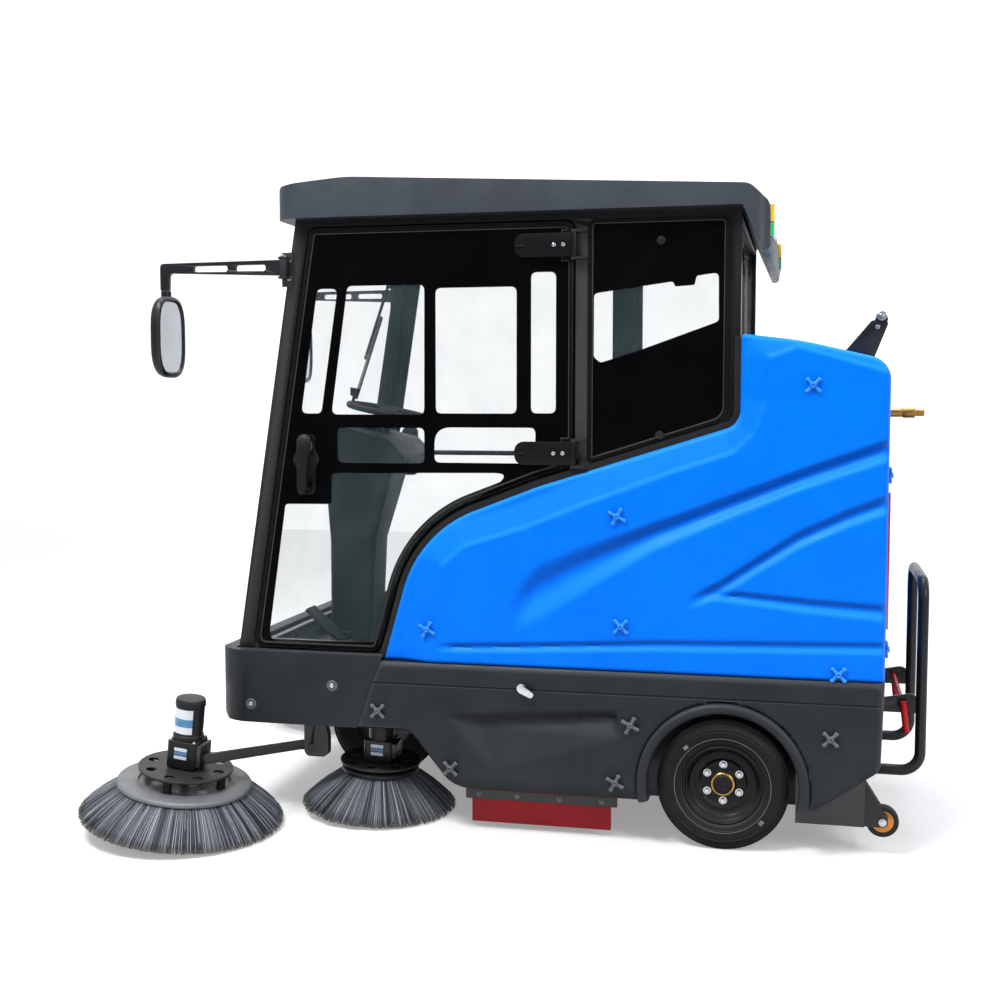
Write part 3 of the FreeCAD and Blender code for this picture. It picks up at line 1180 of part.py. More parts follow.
def hopper_latch():
    """Cross shaft with two red grips that hang beside the stays."""
    y = HANDLE_LOOP_Y + HANDLE_TUBE_R + GRIP_R + GRIP_GAP
    shaft = rod((LATCH_X, -y, LATCH_Z), (LATCH_X, y, LATCH_Z), LATCH_SHAFT_R)
    grips = []
    for side in (-1, 1):
        y0 = side * y
        grips.append(rod((LATCH_X, y0, LATCH_Z + 10.0), (LATCH_X + 12.0, y0, LATCH_Z - 92.0), GRIP_R))
    return fuse(shaft, *grips)


# ---- rear fittings and lamps ----------------------------------------------------------
def quick_coupling():
    y, z = COUPLING_Y, COUPLING_Z
    x = REAR_X
    grommet = sleeve((x, y, z), (x + 20.0, y, z), GROMMET_R, PIPE_R)
    pipe = rod((x, y, z), (x + 62.0, y, z), PIPE_R)
    body = rod((x + 62.0, y, z), (x + 100.0, y, z), COUPLING_R)
    tip = rod((x + 100.0, y, z), (x + 100.0 + COUPLING_TIP, y, z), COUPLING_TIP_R)
    return group(grommet, pipe, fuse(body, tip))


def hose_bracket():
    """Raked bracket on the hood with a guide roller at its tip."""
    plates = []
    for y in (-130.0, -76.0):
        plates.append(side_plate([(352.0, 1572.0, 0), (452.0, 1548.0, 0), (505.0, 1686.0, 12.0),
                                  (447.0, 1686.0, 12.0)],
                                 y, y + 6.0))
    web = side_plate([(352.0, 1572.0, 0), (452.0, 1548.0, 0), (459.0, 1566.0, 0), (364.0, 1590.0, 0)],
                     -125.0, -75.0)
    roller = rod((478.0, -124.0, 1700.0), (478.0, -76.0, 1700.0), 17.0)
    ears = [side_plate([(458.0, 1684.0, 0), (500.0, 1684.0, 0), (494.0, 1712.0, 12.0), (464.0, 1712.0, 12.0)],
                       y, y + 6.0) for y in (-130.0, -76.0)]
    skin = side_plate(panel_outline(), -160.0, -40.0)
    return group(fuse(*plates, *ears, web).cut(skin), roller)


def lamps():
    """Head lamps in the bumper, tail lenses in the roof lip and the two rear light bars."""
    lenses = []
    shell = roof()
    for side in (-1, 1):
        y = side * 430.0
        lenses.append(rod((BUMPER_FRONT_X, y, 470.0), (BUMPER_FRONT_X - 10.0, y, 470.0), 48.0))
        for z0, z1 in TAIL_LENS_LEVELS:
            y0 = min(side * TAIL_LENS_IN, side * TAIL_LENS_OUT)
            lens = box(ROOF_REAR_X - TAIL_LENS_SINK, ROOF_REAR_X + TAIL_LENS_PROUD,
                       y0, y0 + TAIL_LENS_OUT - TAIL_LENS_IN, z0, z1)
            lenses.append(lens.cut(shell))
        y0 = min(side * 578.0, side * 596.0)
        lenses.append(box(REAR_X, REAR_X + 7.0, y0, y0 + 18.0, 720.0, 1140.0))
    return group(*lenses)


def side_latch():
    """Quarter-turn latch handle on the belt of the left cover."""
    x, z = SIDE_LATCH_X, SIDE_LATCH_Z
    y = -COVER_HALF_WIDTH - 0.5
    boss = rod((x, y, z), (x, y - 14.0, z), 15.0)
    lever = side_plate([(x - 10.0, z - 10.0, 6.0), (x + 34.0, z - 30.0, 8.0), (x + 44.0, z - 14.0, 8.0),
                        (x + 4.0, z + 12.0, 6.0)], y - 24.0, y - 12.0)
    return fuse(boss, lever)


# ---- mirrors --------------------------------------------------------------------------
def mirror_bracket():
    """Clamp on the A pillar that holds the pin of the left mirror arm."""
    x, y, z = MIRROR_ROOT_X, -MIRROR_Y, MIRROR_Z
    plate = box(x - 16.0, x + 22.0, -CAB_HALF_WIDTH - 8.0, -CAB_HALF_WIDTH, z - 62.0, z + 50.0)
    lugs = [box(x - 14.0, x + 16.0, y - 14.0, -CAB_HALF_WIDTH - 6.0, z0, z0 + 8.0)
            for z0 in (z - 38.0, z + 26.0)]
    pin = rod((x, y, z - 38.0), (x, y, z + 34.0), MIRROR_PIN_R)
    return fuse(plate, *lugs, pin)


def mirror_arm():
    x0, x1, y, z = MIRROR_ROOT_X, MIRROR_TIP_X, -MIRROR_Y, MIRROR_Z
    bar = side_plate([(x0 + 14.0, z - 28.0, 6.0), (x0 + 14.0, z + 24.0, 6.0), (x1 - 16.0, z + 20.0, 14.0),
                      (x1 - 16.0, z - 70.0, 6.0), (x1 + 12.0, z - 70.0, 6.0), (x1 + 14.0, z - 12.0, 14.0)],
                     y - 10.0, y + 10.0)
    slots = []
    for a, b in ((x0 - 170.0, x0 - 60.0), (x0 - 320.0, x0 - 195.0)):
        slots.append(side_plate([(a, z - 10.0, 9.0), (b, z - 12.0, 9.0), (b, z + 10.0, 9.0),
                                 (a, z + 10.0, 9.0)],
                                y - 12.0, y + 12.0))
    eye = rod((x0, y, z - 29.5), (x0, y, z + 25.5), 14.0)
    arm = fuse(bar, eye).cut(fuse(*slots))
    peg = rod((x1, y, z - 90.0), (x1, y, z - 60.0), 7.0)
    bore = rod((x0, y, z - 60.0), (x0, y, z + 60.0), MIRROR_PIN_R + RUNNING_GAP)
    window = box(x0 - 18.0, x0 + 18.0, y - 18.0, y + 18.0, z + 25.5, z + 40.0)
    return fuse(arm.cut(bore).cut(window), peg)


def mirror_head():
    """Deep oval shell of the left mirror, turned a little towards the driver."""
    half_w, half_h = MIRROR_WIDTH / 2, MIRROR_HEIGHT / 2
    wire = rounded_wire([(0, -half_w, -half_h, 45.0), (0, half_w, -half_h, 45.0), (0, half_w, half_h, 45.0),
                         (0, -half_w, half_h, 45.0)])
    head = Part.Face(wire).extrude(vec(MIRROR_DEPTH, 0, 0))
    socket = Part.makeCylinder(7.0 + RUNNING_GAP, 44.0, vec(MIRROR_DEPTH / 2, 0, half_h - 20.0))
    boss = Part.makeCylinder(17.0, 21.0, vec(MIRROR_DEPTH / 2, 0, half_h - 4.0))
    head = fuse(head, boss).cut(socket)
    head.translate(vec(-MIRROR_DEPTH / 2, 0, 0))
    head.rotate(vec(0, 0, 0), vec(0, 0, 1), -MIRROR_YAW)
    head.translate(vec(MIRROR_TIP_X, -MIRROR_Y, MIRROR_HEAD_Z))
    return head


# ---- build ----------------------------------------------------------------------------
def all_nodes():
    nodes = {
        "chassis_frame": chassis_frame(), "drive_units": drive_units(), "front_bumper": front_bumper(),
        "side_skirts": side_skirts(), "rear_hood": rear_hood(), "blue_knobs": blue_knobs(),
        "dark_knobs": dark_knobs(), "cab_frame": cab_frame(), "roof": roof(),
        "cab_glass": cab_glass(), "wiper": wiper(), "steering_pedestal": steering_pedestal(),
        "steering_wheel": steering_wheel(), "foot_pedal": foot_pedal(), "seat_cushion": seat_cushion(), "seat_back": seat_back(),
        "battery_pack": battery_pack(), "vacuum_fan": vacuum_fan(), "water_tank": water_tank(),
        "front_fork": front_fork(), "front_wheel": front_wheel(), "main_brush": main_brush(),
        "brush_cradle": brush_cradle(), "hopper": hopper(), "push_handle": push_handle(),
        "hopper_latch": hopper_latch(), "quick_coupling": quick_coupling(), "hose_bracket": hose_bracket(),
        "lamps": lamps(), "side_latch": side_latch(),
    }
    pairs = {
        "rear_tyre": rear_tyre(), "rear_rim": rear_rim(), "lower_cover": lower_cover(),
        "body_panel": body_panel(), "door_frame": door_frame(), "door_glass": door_glass(),
        "door_handle": door_handle(), "mirror_arm": mirror_arm(), "mirror_head": mirror_head(),
        "front_brush_arm": brush_arm(FRONT_BRUSH, FRONT_PIVOT),
        "front_brush_motor": brush_motor(FRONT_BRUSH),
        "front_brush_head": group(brush_head(FRONT_BRUSH), brush_bristles(FRONT_BRUSH)),
        "mid_brush_arm": group(brush_arm(MID_BRUSH, MID_PIVOT), brush_motor(MID_BRUSH)),
        "mid_brush_head": group(brush_head(MID_BRUSH), brush_bristles(MID_BRUSH)),
        "castor": castor(),
    }
    for name, shape in pairs.items():
        nodes[name + "_left"] = shape
        nodes[name + "_right"] = mirrored(shape)
    return nodes


def main():
    os.makedirs("parts", exist_ok=True)
    for name, shape in all_nodes().items():
        shape = shape.copy()
        shape.translate(vec(MIDDLE_X, 0, 0))
        shape.exportStep("parts/" + name + ".step")


if __name__ == "__main__":
    main()
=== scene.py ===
import json
import random
from math import atan2, cos, pi, radians, sin, sqrt

import bmesh
import bpy
import numpy as np
from mathutils import Matrix, Vector


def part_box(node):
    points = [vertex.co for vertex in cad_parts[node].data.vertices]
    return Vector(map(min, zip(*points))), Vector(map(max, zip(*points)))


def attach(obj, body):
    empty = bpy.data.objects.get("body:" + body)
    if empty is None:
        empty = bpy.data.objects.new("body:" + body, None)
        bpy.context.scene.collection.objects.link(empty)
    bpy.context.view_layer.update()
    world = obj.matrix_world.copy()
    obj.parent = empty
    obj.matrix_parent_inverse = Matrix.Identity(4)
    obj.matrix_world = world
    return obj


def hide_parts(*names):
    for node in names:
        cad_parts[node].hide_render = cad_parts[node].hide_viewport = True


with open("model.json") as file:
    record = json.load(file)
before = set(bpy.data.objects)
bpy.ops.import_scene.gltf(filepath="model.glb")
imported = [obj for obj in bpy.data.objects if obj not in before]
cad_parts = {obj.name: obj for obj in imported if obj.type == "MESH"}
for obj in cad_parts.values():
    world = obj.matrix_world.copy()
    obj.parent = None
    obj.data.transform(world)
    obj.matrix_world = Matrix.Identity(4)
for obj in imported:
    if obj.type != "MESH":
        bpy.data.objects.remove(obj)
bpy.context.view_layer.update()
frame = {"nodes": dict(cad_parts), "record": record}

# Ride-on sweeper. The helpers take millimetres with X = 0 on the rear axle, -X ahead,
# the near (left) side at -Y and the floor at Z = 0. AXLE_X moves them into the frame.
RECORD = frame["record"]
BODIES = RECORD["behaviour"]["bodies"]
JOINTS = {joint["name"]: joint for joint in RECORD["behaviour"]["joints"]}
SLOTS = {part["node"]: part["material_slot"] for part in RECORD["subparts"]}
BODY_OF = {node: body for body, nodes in BODIES.items() for node in nodes}
AXLE_X = (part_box("rear_rim_left")[0][0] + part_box("rear_rim_left")[1][0]) / 2
MM = 0.001
SIDES = ("left", "right")
scene = bpy.context.scene


def mm(x, y, z):
    return Vector((AXLE_X + x * MM, y * MM, z * MM))


# ---- finishes ---------------------------------------------------------------------------
def linear(red, green, blue):
    def one(value):
        value /= 255.0
        return value / 12.92 if value <= 0.04045 else ((value + 0.055) / 1.055) ** 2.4
    return (one(red), one(green), one(blue), 1.0)


# colour, second colour, roughness, metallic, grain size in mm, grain depth, coat, wear
FINISHES = {
    "blue_plastic": ((0, 112, 238), (0, 106, 232), 0.36, 0.0, 5.0, 0.04, 0.0, 0.10),
    "blue_knob": ((20, 128, 236), (10, 112, 216), 0.3, 0.0, 1.5, 0.12, 0.2, 0.35),
    "dark_plastic": ((34, 39, 45), (26, 30, 35), 0.46, 0.0, 1.1, 0.22, 0.0, 0.22),
    "roof_plastic": ((58, 64, 71), (50, 55, 62), 0.42, 0.0, 1.2, 0.20, 0.0, 0.22),
    "dark_knob": ((88, 92, 98), (70, 74, 80), 0.42, 0.0, 1.2, 0.20, 0.0, 0.30),
    "frame_paint": ((24, 26, 29), (15, 16, 18), 0.36, 0.0, 3.0, 0.22, 0.15, 0.35),
    "cab_paint": ((14, 15, 17), (9, 10, 11), 0.3, 0.0, 2.0, 0.04, 0.06, 0.18),
    "interior_plastic": ((20, 22, 25), (14, 16, 18), 0.5, 0.0, 1.0, 0.05, 0.0, 0.2),
    "battery_case": ((36, 38, 42), (26, 28, 31), 0.5, 0.0, 2.0, 0.2, 0.0, 0.2),
    "machine_grey": ((92, 96, 100), (72, 75, 80), 0.45, 0.4, 2.0, 0.25, 0.0, 0.35),
    "tank_plastic": ((196, 200, 202), (176, 181, 184), 0.4, 0.0, 4.0, 0.2, 0.0, 0.1),
    "tyre": ((25, 26, 28), (17, 17, 18), 0.62, 0.0, 1.6, 0.5, 0.0, 0.35),
    "rim_paint": ((8, 8, 10), (4, 4, 5), 0.24, 0.0, 2.5, 0.08, 0.05, 0.6),
    "wheel_rubber": ((27, 27, 28), (18, 18, 19), 0.6, 0.0, 1.6, 0.5, 0.0, 0.3),
    "skirt_rubber": ((150, 6, 24), (124, 4, 18), 0.42, 0.0, 6.0, 0.25, 0.1, 0.15),
    "motor_black": ((27, 29, 32), (18, 19, 22), 0.4, 0.1, 1.4, 0.3, 0.1, 0.35),
    "main_bristle": ((48, 50, 54), (26, 27, 30), 0.6, 0.0, 1.0, 0.6, 0.0, 0.2),
    "castor": ((26, 26, 27), (17, 17, 18), 0.55, 0.0, 1.5, 0.4, 0.0, 0.3),
    "castor_hub": ((224, 142, 22), (204, 120, 12), 0.4, 0.0, 1.5, 0.2, 0.1, 0.2),
    "latch_red": ((188, 16, 28), (160, 10, 20), 0.4, 0.0, 1.2, 0.25, 0.1, 0.2),
    "brass": ((198, 156, 84), (158, 118, 58), 0.28, 1.0, 1.0, 0.12, 0.0, 0.35),
    "bracket_paint": ((32, 34, 38), (22, 23, 26), 0.36, 0.1, 2.5, 0.22, 0.15, 0.35),
    "bright_zinc": ((206, 208, 212), (170, 173, 178), 0.26, 1.0, 1.0, 0.12, 0.0, 0.3),
    "mirror_shell": ((26, 28, 31), (18, 19, 21), 0.36, 0.0, 1.2, 0.2, 0.15, 0.2),
    "steering_rubber": ((22, 23, 25), (15, 15, 17), 0.52, 0.0, 0.9, 0.45, 0.0, 0.25),
    "pedal_rubber": ((30, 31, 33), (20, 21, 22), 0.6, 0.0, 1.0, 0.5, 0.0, 0.3),
    "seat_vinyl": ((30, 31, 34), (21, 22, 24), 0.48, 0.0, 1.3, 0.55, 0.0, 0.15),
    "ring_grey": ((128, 130, 132), (96, 98, 101), 0.46, 0.3, 1.6, 0.3, 0.0, 0.4),
    "glass_print": ((7, 7, 9), (4, 4, 5), 0.09, 0.0, 8.0, 0.03, 0.0, 0.0),
    "seal_rubber": ((15, 15, 16), (10, 10, 11), 0.48, 0.0, 1.0, 0.3, 0.0, 0.1),
    # a thin pale strip along the door and quarter seals: a painted highlight on the seal's edge
    "seal_highlight_paint": ((62, 58, 55), (48, 45, 43), 0.4, 0.2, 1.0, 0.2, 0.0, 0.2),
    "lens_yellow": ((255, 196, 22), (240, 170, 10), 0.18, 0.0, 3.0, 0.3, 0.5, 0.0),
    "lens_green": ((34, 190, 96), (18, 160, 76), 0.18, 0.0, 3.0, 0.3, 0.5, 0.0),
    "lens_red": ((196, 20, 26), (166, 10, 18), 0.18, 0.0, 3.0, 0.3, 0.5, 0.0),
    "lens": ((226, 230, 234), (206, 211, 216), 0.1, 0.0, 4.0, 0.4, 0.6, 0.0),
    "label_white": ((214, 220, 226), (196, 204, 212), 0.32, 0.0, 2.0, 0.1, 0.2, 0.1),
    "label_blue": ((44, 128, 172), (34, 108, 150), 0.32, 0.0, 2.0, 0.1, 0.2, 0.1),
    "mirror_glass": ((206, 210, 214), (198, 203, 208), 0.03, 1.0, 20.0, 0.02, 0.0, 0.0),
    "screen": ((18, 26, 34), (12, 18, 25), 0.12, 0.0, 3.0, 0.1, 0.4, 0.0),
}
# how much light a finish mirrors, where that isn't the usual half
SHINE = {"glass_print": 0.03, "cab_paint": 0.14, "dark_plastic": 0.2, "interior_plastic": 0.16, "motor_black": 0.12,
         "seal_rubber": 0.06, "blue_plastic": 0.05, "blue_knob": 0.25, "seat_vinyl": 0.2, "rim_paint": 0.12,
         "tyre": 0.12, "main_bristle": 0.04, "mirror_shell": 0.2, "steering_rubber": 0.16, "frame_paint": 0.22,
         "roof_plastic": 0.25, "wheel_rubber": 0.12, "castor": 0.2, "skirt_rubber": 0.12, "latch_red": 0.2,
         "pedal_rubber": 0.15, "bracket_paint": 0.2}
made = {}


def scale_inputs(node, **values):
    for key, value in values.items():
        node.inputs[key].default_value = value
    return node


def noise_of(tree, place, size, detail=5.0, rough=0.55):
    noise = tree.nodes.new("ShaderNodeTexNoise")
    scale_inputs(noise, Scale=1.0 / (size * MM), Detail=detail, Roughness=rough)
    tree.links.new(place, noise.inputs["Vector"])
    return noise.outputs["Fac"]


def ramp_of(tree, value, stops):
    ramp = tree.nodes.new("ShaderNodeValToRGB")
    ramp.color_ramp.elements[0].position = stops[0][0]
    ramp.color_ramp.elements[0].color = stops[0][1]
    ramp.color_ramp.elements[1].position = stops[-1][0]
    ramp.color_ramp.elements[1].color = stops[-1][1]
    for position, colour in stops[1:-1]:
        ramp.color_ramp.elements.new(position).color = colour
    tree.links.new(value, ramp.inputs["Fac"])
    return ramp.outputs["Color"]


def mix_of(tree, factor, first, second):
    mix = tree.nodes.new("ShaderNodeMix")
    mix.data_type = "RGBA"
    tree.links.new(factor, mix.inputs[0])
    for socket, value in ((mix.inputs[6], first), (mix.inputs[7], second)):
        if isinstance(value, tuple):
            socket.default_value = value
        else:
            tree.links.new(value, socket)
    return mix.outputs[2]


def range_of(tree, value, low, high, out_low, out_high):
    node = tree.nodes.new("ShaderNodeMapRange")
    for index, number in enumerate((low, high, out_low, out_high)):
        node.inputs[1 + index].default_value = number
    tree.links.new(value, node.inputs[0])
    return node.outputs[0]


def product_of(tree, first, second):
    node = tree.nodes.new("ShaderNodeMath")
    node.operation = "MULTIPLY"
    tree.links.new(first, node.inputs[0])
    tree.links.new(second, node.inputs[1])
    return node.outputs[0]


# what a finish turns to on worn edges, and the painted highlight it gets on upper faces, where that isn't a greyer
# self
WEAR_AND_HIGHLIGHT_COLOURS = {"blue_plastic": (52, 172, 252), "blue_knob": (70, 180, 252), "skirt_rubber": (176, 18, 34),
         "latch_red": (214, 40, 48)}


def lighter(colour, amount):
    """A linear colour moved towards a pale grey."""
    return tuple(channel + (0.55 - channel) * amount for channel in colour[:3]) + (1.0,)


def wear_and_highlight_colour(slot, amount):
    """The colour of a finish's worn edges and of the painted highlight on its upper faces: its own listed colour, or
    else a greyer self.
    """
    if slot in WEAR_AND_HIGHLIGHT_COLOURS:
        return linear(*WEAR_AND_HIGHLIGHT_COLOURS[slot])
    return lighter(linear(*FINISHES[slot][0]), amount)


def blank_material(name):
    """A new node material, with its tree, its shader and its object coordinates."""
    material = bpy.data.materials.new(name)
    material.use_nodes = True
    tree = material.node_tree
    place = tree.nodes.new("ShaderNodeTexCoord").outputs["Object"]
    return material, tree, tree.nodes["Principled BSDF"], place


def finish(slot):
    """A material with drifting colour, worn edges, dust near the floor, a fine grain, painted shade on faces turned
    downwards and a painted highlight on faces turned upwards.
    """
    first, second, rough, metal, grain, depth, coat, wear = FINISHES[slot]
    material, tree, shader, place = blank_material(slot)
    geometry = tree.nodes.new("ShaderNodeNewGeometry")
    drift = noise_of(tree, place, 190.0, 4.0)
    speck = noise_of(tree, place, grain * 1.7, 3.0)
    base = ramp_of(tree, drift, [(0.32, linear(*second)), (0.68, linear(*first))])
    dark = tuple(0.86 * channel for channel in linear(*second)[:3]) + (1.0,)
    base = mix_of(tree, range_of(tree, speck, 0.58, 0.74, 0.0, 0.5), base, dark)
    edge = range_of(tree, geometry.outputs["Pointiness"], 0.53, 0.62, 0.0, wear)
    base = mix_of(tree, edge, base, wear_and_highlight_colour(slot, 0.35))
    split = tree.nodes.new("ShaderNodeSeparateXYZ")
    tree.links.new(geometry.outputs["Position"], split.inputs[0])
    low = range_of(tree, split.outputs["Z"], 0.02, 0.42, 0.07, 0.0)
    dust = product_of(tree, low, noise_of(tree, place, 60.0, 6.0))
    base = mix_of(tree, dust, base, linear(128, 122, 112))
    # painted shade: faces turned downwards are darkened towards a dark copy of the finish
    facing = tree.nodes.new("ShaderNodeSeparateXYZ")
    tree.links.new(geometry.outputs["Normal"], facing.inputs[0])
    shade = tuple(channel * 0.42 for channel in linear(*second)[:3]) + (1.0,)
    base = mix_of(tree, range_of(tree, facing.outputs["Z"], -0.02, -0.45, 0.0, 0.9), base, shade)
    # painted highlight: faces turned upwards are lightened towards a paler colour of the finish
    base = mix_of(tree, range_of(tree, facing.outputs["Z"], 0.02, 0.5, 0.0, 0.42), base, wear_and_highlight_colour(slot, 0.12))
    tree.links.new(base, shader.inputs["Base Color"])
    gloss = range_of(tree, noise_of(tree, place, 70.0, 5.0), 0.3, 0.7, rough * 0.82, min(1.0, rough * 1.22))
    tree.links.new(gloss, shader.inputs["Roughness"])
    bump = tree.nodes.new("ShaderNodeBump")
    scale_inputs(bump, Strength=depth, Distance=grain * 0.12 * MM)
    tree.links.new(noise_of(tree, place, grain, 6.0, 0.6), bump.inputs["Height"])
    tree.links.new(bump.outputs["Normal"], shader.inputs["Normal"])
    scale_inputs(shader, **{"Metallic": metal, "Coat Weight": coat, "Coat Roughness": 0.12,
                            "Specular IOR Level": SHINE.get(slot, 0.5)})
    return material


def clear_glass():
    """Lightly tinted safety glass, with faint dirt that shows in its gloss."""
    material, tree, shader, place = blank_material("cab_glass")
    haze = noise_of(tree, place, 160.0, 6.0)
    tint = ramp_of(tree, haze, [(0.3, linear(84, 104, 108)), (0.7, linear(104, 122, 126))])
    tree.links.new(tint, shader.inputs["Base Color"])
    tree.links.new(range_of(tree, haze, 0.3, 0.7, 0.02, 0.07), shader.inputs["Roughness"])
    tree.links.new(range_of(tree, haze, 0.35, 0.75, 0.075, 0.105), shader.inputs["Alpha"])
    scale_inputs(shader, **{"IOR": 1.5, "Specular IOR Level": 0.2})
    return material


def bristle_finish():
    """Coarse plastic bristles: grey strands of mixed tone with pale, worn tips."""
    material, tree, shader, place = blank_material("bristle")
    tone = tree.nodes.new("ShaderNodeAttribute")
    tone.attribute_name = "tone"
    along = tree.nodes.new("ShaderNodeAttribute")
    along.attribute_name = "along"
    stops = [(0.0, linear(40, 43, 48)), (0.35, linear(84, 89, 97)), (0.7, linear(132, 138, 148)),
             (1.0, linear(190, 193, 198))]
    base = ramp_of(tree, tone.outputs["Fac"], stops)
    tip = product_of(tree, range_of(tree, along.outputs["Fac"], 0.86, 1.0, 0.0, 0.8),
                     range_of(tree, noise_of(tree, place, 14.0), 0.35, 0.6, 0.2, 1.0))
    base = mix_of(tree, tip, base, linear(148, 136, 116))
    base = mix_of(tree, range_of(tree, noise_of(tree, place, 5.0), 0.3, 0.7, 0.0, 0.3), base, linear(34, 37, 42))
    tree.links.new(base, shader.inputs["Base Color"])
    tree.links.new(range_of(tree, tone.outputs["Fac"], 0.0, 1.0, 0.5, 0.38), shader.inputs["Roughness"])
    bump = tree.nodes.new("ShaderNodeBump")
    scale_inputs(bump, Strength=0.3, Distance=0.0003)
    tree.links.new(noise_of(tree, place, 2.0), bump.inputs["Height"])
    tree.links.new(bump.outputs["Normal"], shader.inputs["Normal"])
    return material


def material_for(slot):
    """The material of a slot, made when it is first asked for."""
    if slot not in made:
        own = {"cab_glass": clear_glass, "bristle": bristle_finish}
        made[slot] = own[slot]() if slot in own else finish(slot)
    return made[slot]


# ---- pieces -----------------------------------------------------------------------------
def to_mesh(bm, name, sharp=38.0):
    mesh = bpy.data.meshes.new(name)
    bm.to_mesh(mesh)
    bm.free()
    mesh.shade_smooth()
    mesh.set_sharp_from_angle(angle=radians(sharp))
    return mesh


def piece(name, mesh, body, slot, nodes=(), look=None):
    """A named object of the machine that rides on a body and may stand for CAD nodes."""
    obj = bpy.data.objects.new(name, mesh)
    scene.collection.objects.link(obj)
    if not mesh.materials:
        mesh.materials.append(material_for(look or slot))
    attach(obj, body)
    if nodes:
        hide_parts(*nodes)
    return obj


def mirrored(mesh, name):
    other = mesh.copy()
    other.name = name
    other.transform(Matrix.Diagonal((1.0, -1.0, 1.0, 1.0)))
    other.flip_normals()
    return other


def pair(name, mesh, body, slot, node=None, look=None):
    """A piece of the left side and its mirror image. A body that both sides share is named whole."""
    made_pieces = []
    for side in SIDES:
        own = mesh if side == "left" else mirrored(mesh, name + "_right")
        owner = body if body in BODIES else body + "_" + side
        nodes = (node + "_" + side,) if node else ()
        made_pieces.append(piece(name + "_" + side, own, owner, slot, nodes, look))
    return made_pieces


def islands(bm):
    """The connected parts of a mesh, as lists of faces."""
    seen = set()
    groups = []
    for face in bm.faces:
        if face in seen:
            continue
        stack = [face]
        seen.add(face)
        found = []
        while stack:
            here = stack.pop()
            found.append(here)
            for edge in here.edges:
                for other in edge.link_faces:
                    if other not in seen:
                        seen.add(other)
                        stack.append(other)
        groups.append(found)
    return groups


def centre_of(faces):
    points = [vert.co for face in faces for vert in face.verts]
    low = Vector([min(point[axis] for point in points) for axis in range(3)])
    high = Vector([max(point[axis] for point in points) for axis in range(3)])
    return (low + high) / 2


def clean_copy(node):
    """The CAD node's shape with shared corners and whole flat faces."""
    bm = bmesh.new()
    bm.from_mesh(frame["nodes"][node].data)
    bmesh.ops.remove_doubles(bm, verts=bm.verts, dist=2e-5)
    bmesh.ops.dissolve_limit(bm, angle_limit=radians(1.0), verts=bm.verts, edges=bm.edges)
    return bm


def soften(bm, width, segments=2):
    """Round every sharp edge."""
    edges = [edge for edge in bm.edges
             if len(edge.link_faces) == 2 and edge.calc_face_angle(0.0) > radians(34)]
    if edges:
        bmesh.ops.bevel(bm, geom=edges, offset=width * MM, segments=segments, profile=0.6,
                        affect="EDGES", clamp_overlap=True)


def refine(node, width=1.2, segments=2, paint=None, drop=None):
    """Stand-in for a CAD node with softened edges. paint(centre) picks a finish for each solid."""
    bm = clean_copy(node)
    if drop:
        unwanted = [face for group in islands(bm) if drop(centre_of(group)) for face in group]
        bmesh.ops.delete(bm, geom=unwanted, context="FACES")
    slot = SLOTS[node]
    looks = [slot]
    if paint:
        for group in islands(bm):
            look = paint(centre_of(group))
            if look not in looks:
                looks.append(look)
            for face in group:
                face.material_index = looks.index(look)
    soften(bm, width, segments)
    mesh = to_mesh(bm, node + "_look")
    for look in looks:
        mesh.materials.append(material_for(look))
    return piece(node + "_look", mesh, BODY_OF[node], slot, (node,))


# ---- shapes -----------------------------------------------------------------------------
def lathe(bm, profile, matrix, segments=72, start=0.0, sweep=2 * pi):
    """Turn (radius, height) points in mm about the local Z axis of matrix."""
    whole = abs(sweep - 2 * pi) < 1e-6
    count = segments if whole else segments + 1
    rings = []
    for step in range(count):
        angle = start + sweep * step / segments
        ring = []
        for radius, height in profile:
            place = Vector((radius * cos(angle) * MM, radius * sin(angle) * MM, height * MM))
            ring.append(bm.verts.new(matrix @ place))
        rings.append(ring)
    for step in range(segments):
        a, b = rings[step], rings[(step + 1) % count]
        for index in range(len(profile) - 1):
            bm.faces.new((a[index], b[index], b[index + 1], a[index + 1]))
    bmesh.ops.remove_doubles(bm, verts=[vert for ring in rings for vert in ring], dist=1e-6)


def rounded(profile, radius=2.0, steps=3):
    """A (radius, height) profile with its inner corners rounded."""
    result = [profile[0]]
    for before, here, after in zip(profile, profile[1:], profile[2:]):
        here_v = Vector(here)
        back = Vector(before) - here_v
        ahead = Vector(after) - here_v
        reach = min(radius, back.length * 0.45, ahead.length * 0.45)
        if reach < 1e-3:
            result.append(here)
            continue
        p0 = here_v + back.normalized() * reach
        p2 = here_v + ahead.normalized() * reach
        for step in range(steps + 1):
            t = step / steps
            point = p0 * (1 - t) ** 2 + here_v * 2 * t * (1 - t) + p2 * t ** 2
            result.append((point.x, point.y))
    result.append(profile[-1])
    return result


def axis_matrix(origin, axis):
    turn = Vector((0, 0, 1)).rotation_difference(axis.normalized()).to_matrix().to_4x4()
    return Matrix.Translation(origin) @ turn


def side_axis(x, y, z):
    """Local Z points out of the left side."""
    return axis_matrix(mm(x, y, z), Vector((0, -1, 0)))


def arc_corner(before, here, after, radius, steps=6):
    """Points that round a corner of a flat outline."""
    here_v = Vector(here)
    back = Vector(before[:2]) - here_v
    ahead = Vector(after[:2]) - here_v
    half = back.angle(ahead) / 2
    reach = min(radius / max(1e-6, abs(np.tan(half))), back.length * 0.48, ahead.length * 0.48)
    p0 = here_v + back.normalized() * reach
    p2 = here_v + ahead.normalized() * reach
    points = []
    for step in range(steps + 1):
        t = step / steps
        point = p0 * (1 - t) ** 2 + here_v * 2 * t * (1 - t) + p2 * t ** 2
        points.append((point.x, point.y))
    return points


def outline_of(corners, radius=20.0, steps=6):
    points = []
    count = len(corners)
    for index, corner in enumerate(corners):
        points += arc_corner(corners[index - 1], corner[:2], corners[(index + 1) % count],
                             corner[2] if len(corner) > 2 else radius, steps)
    return points


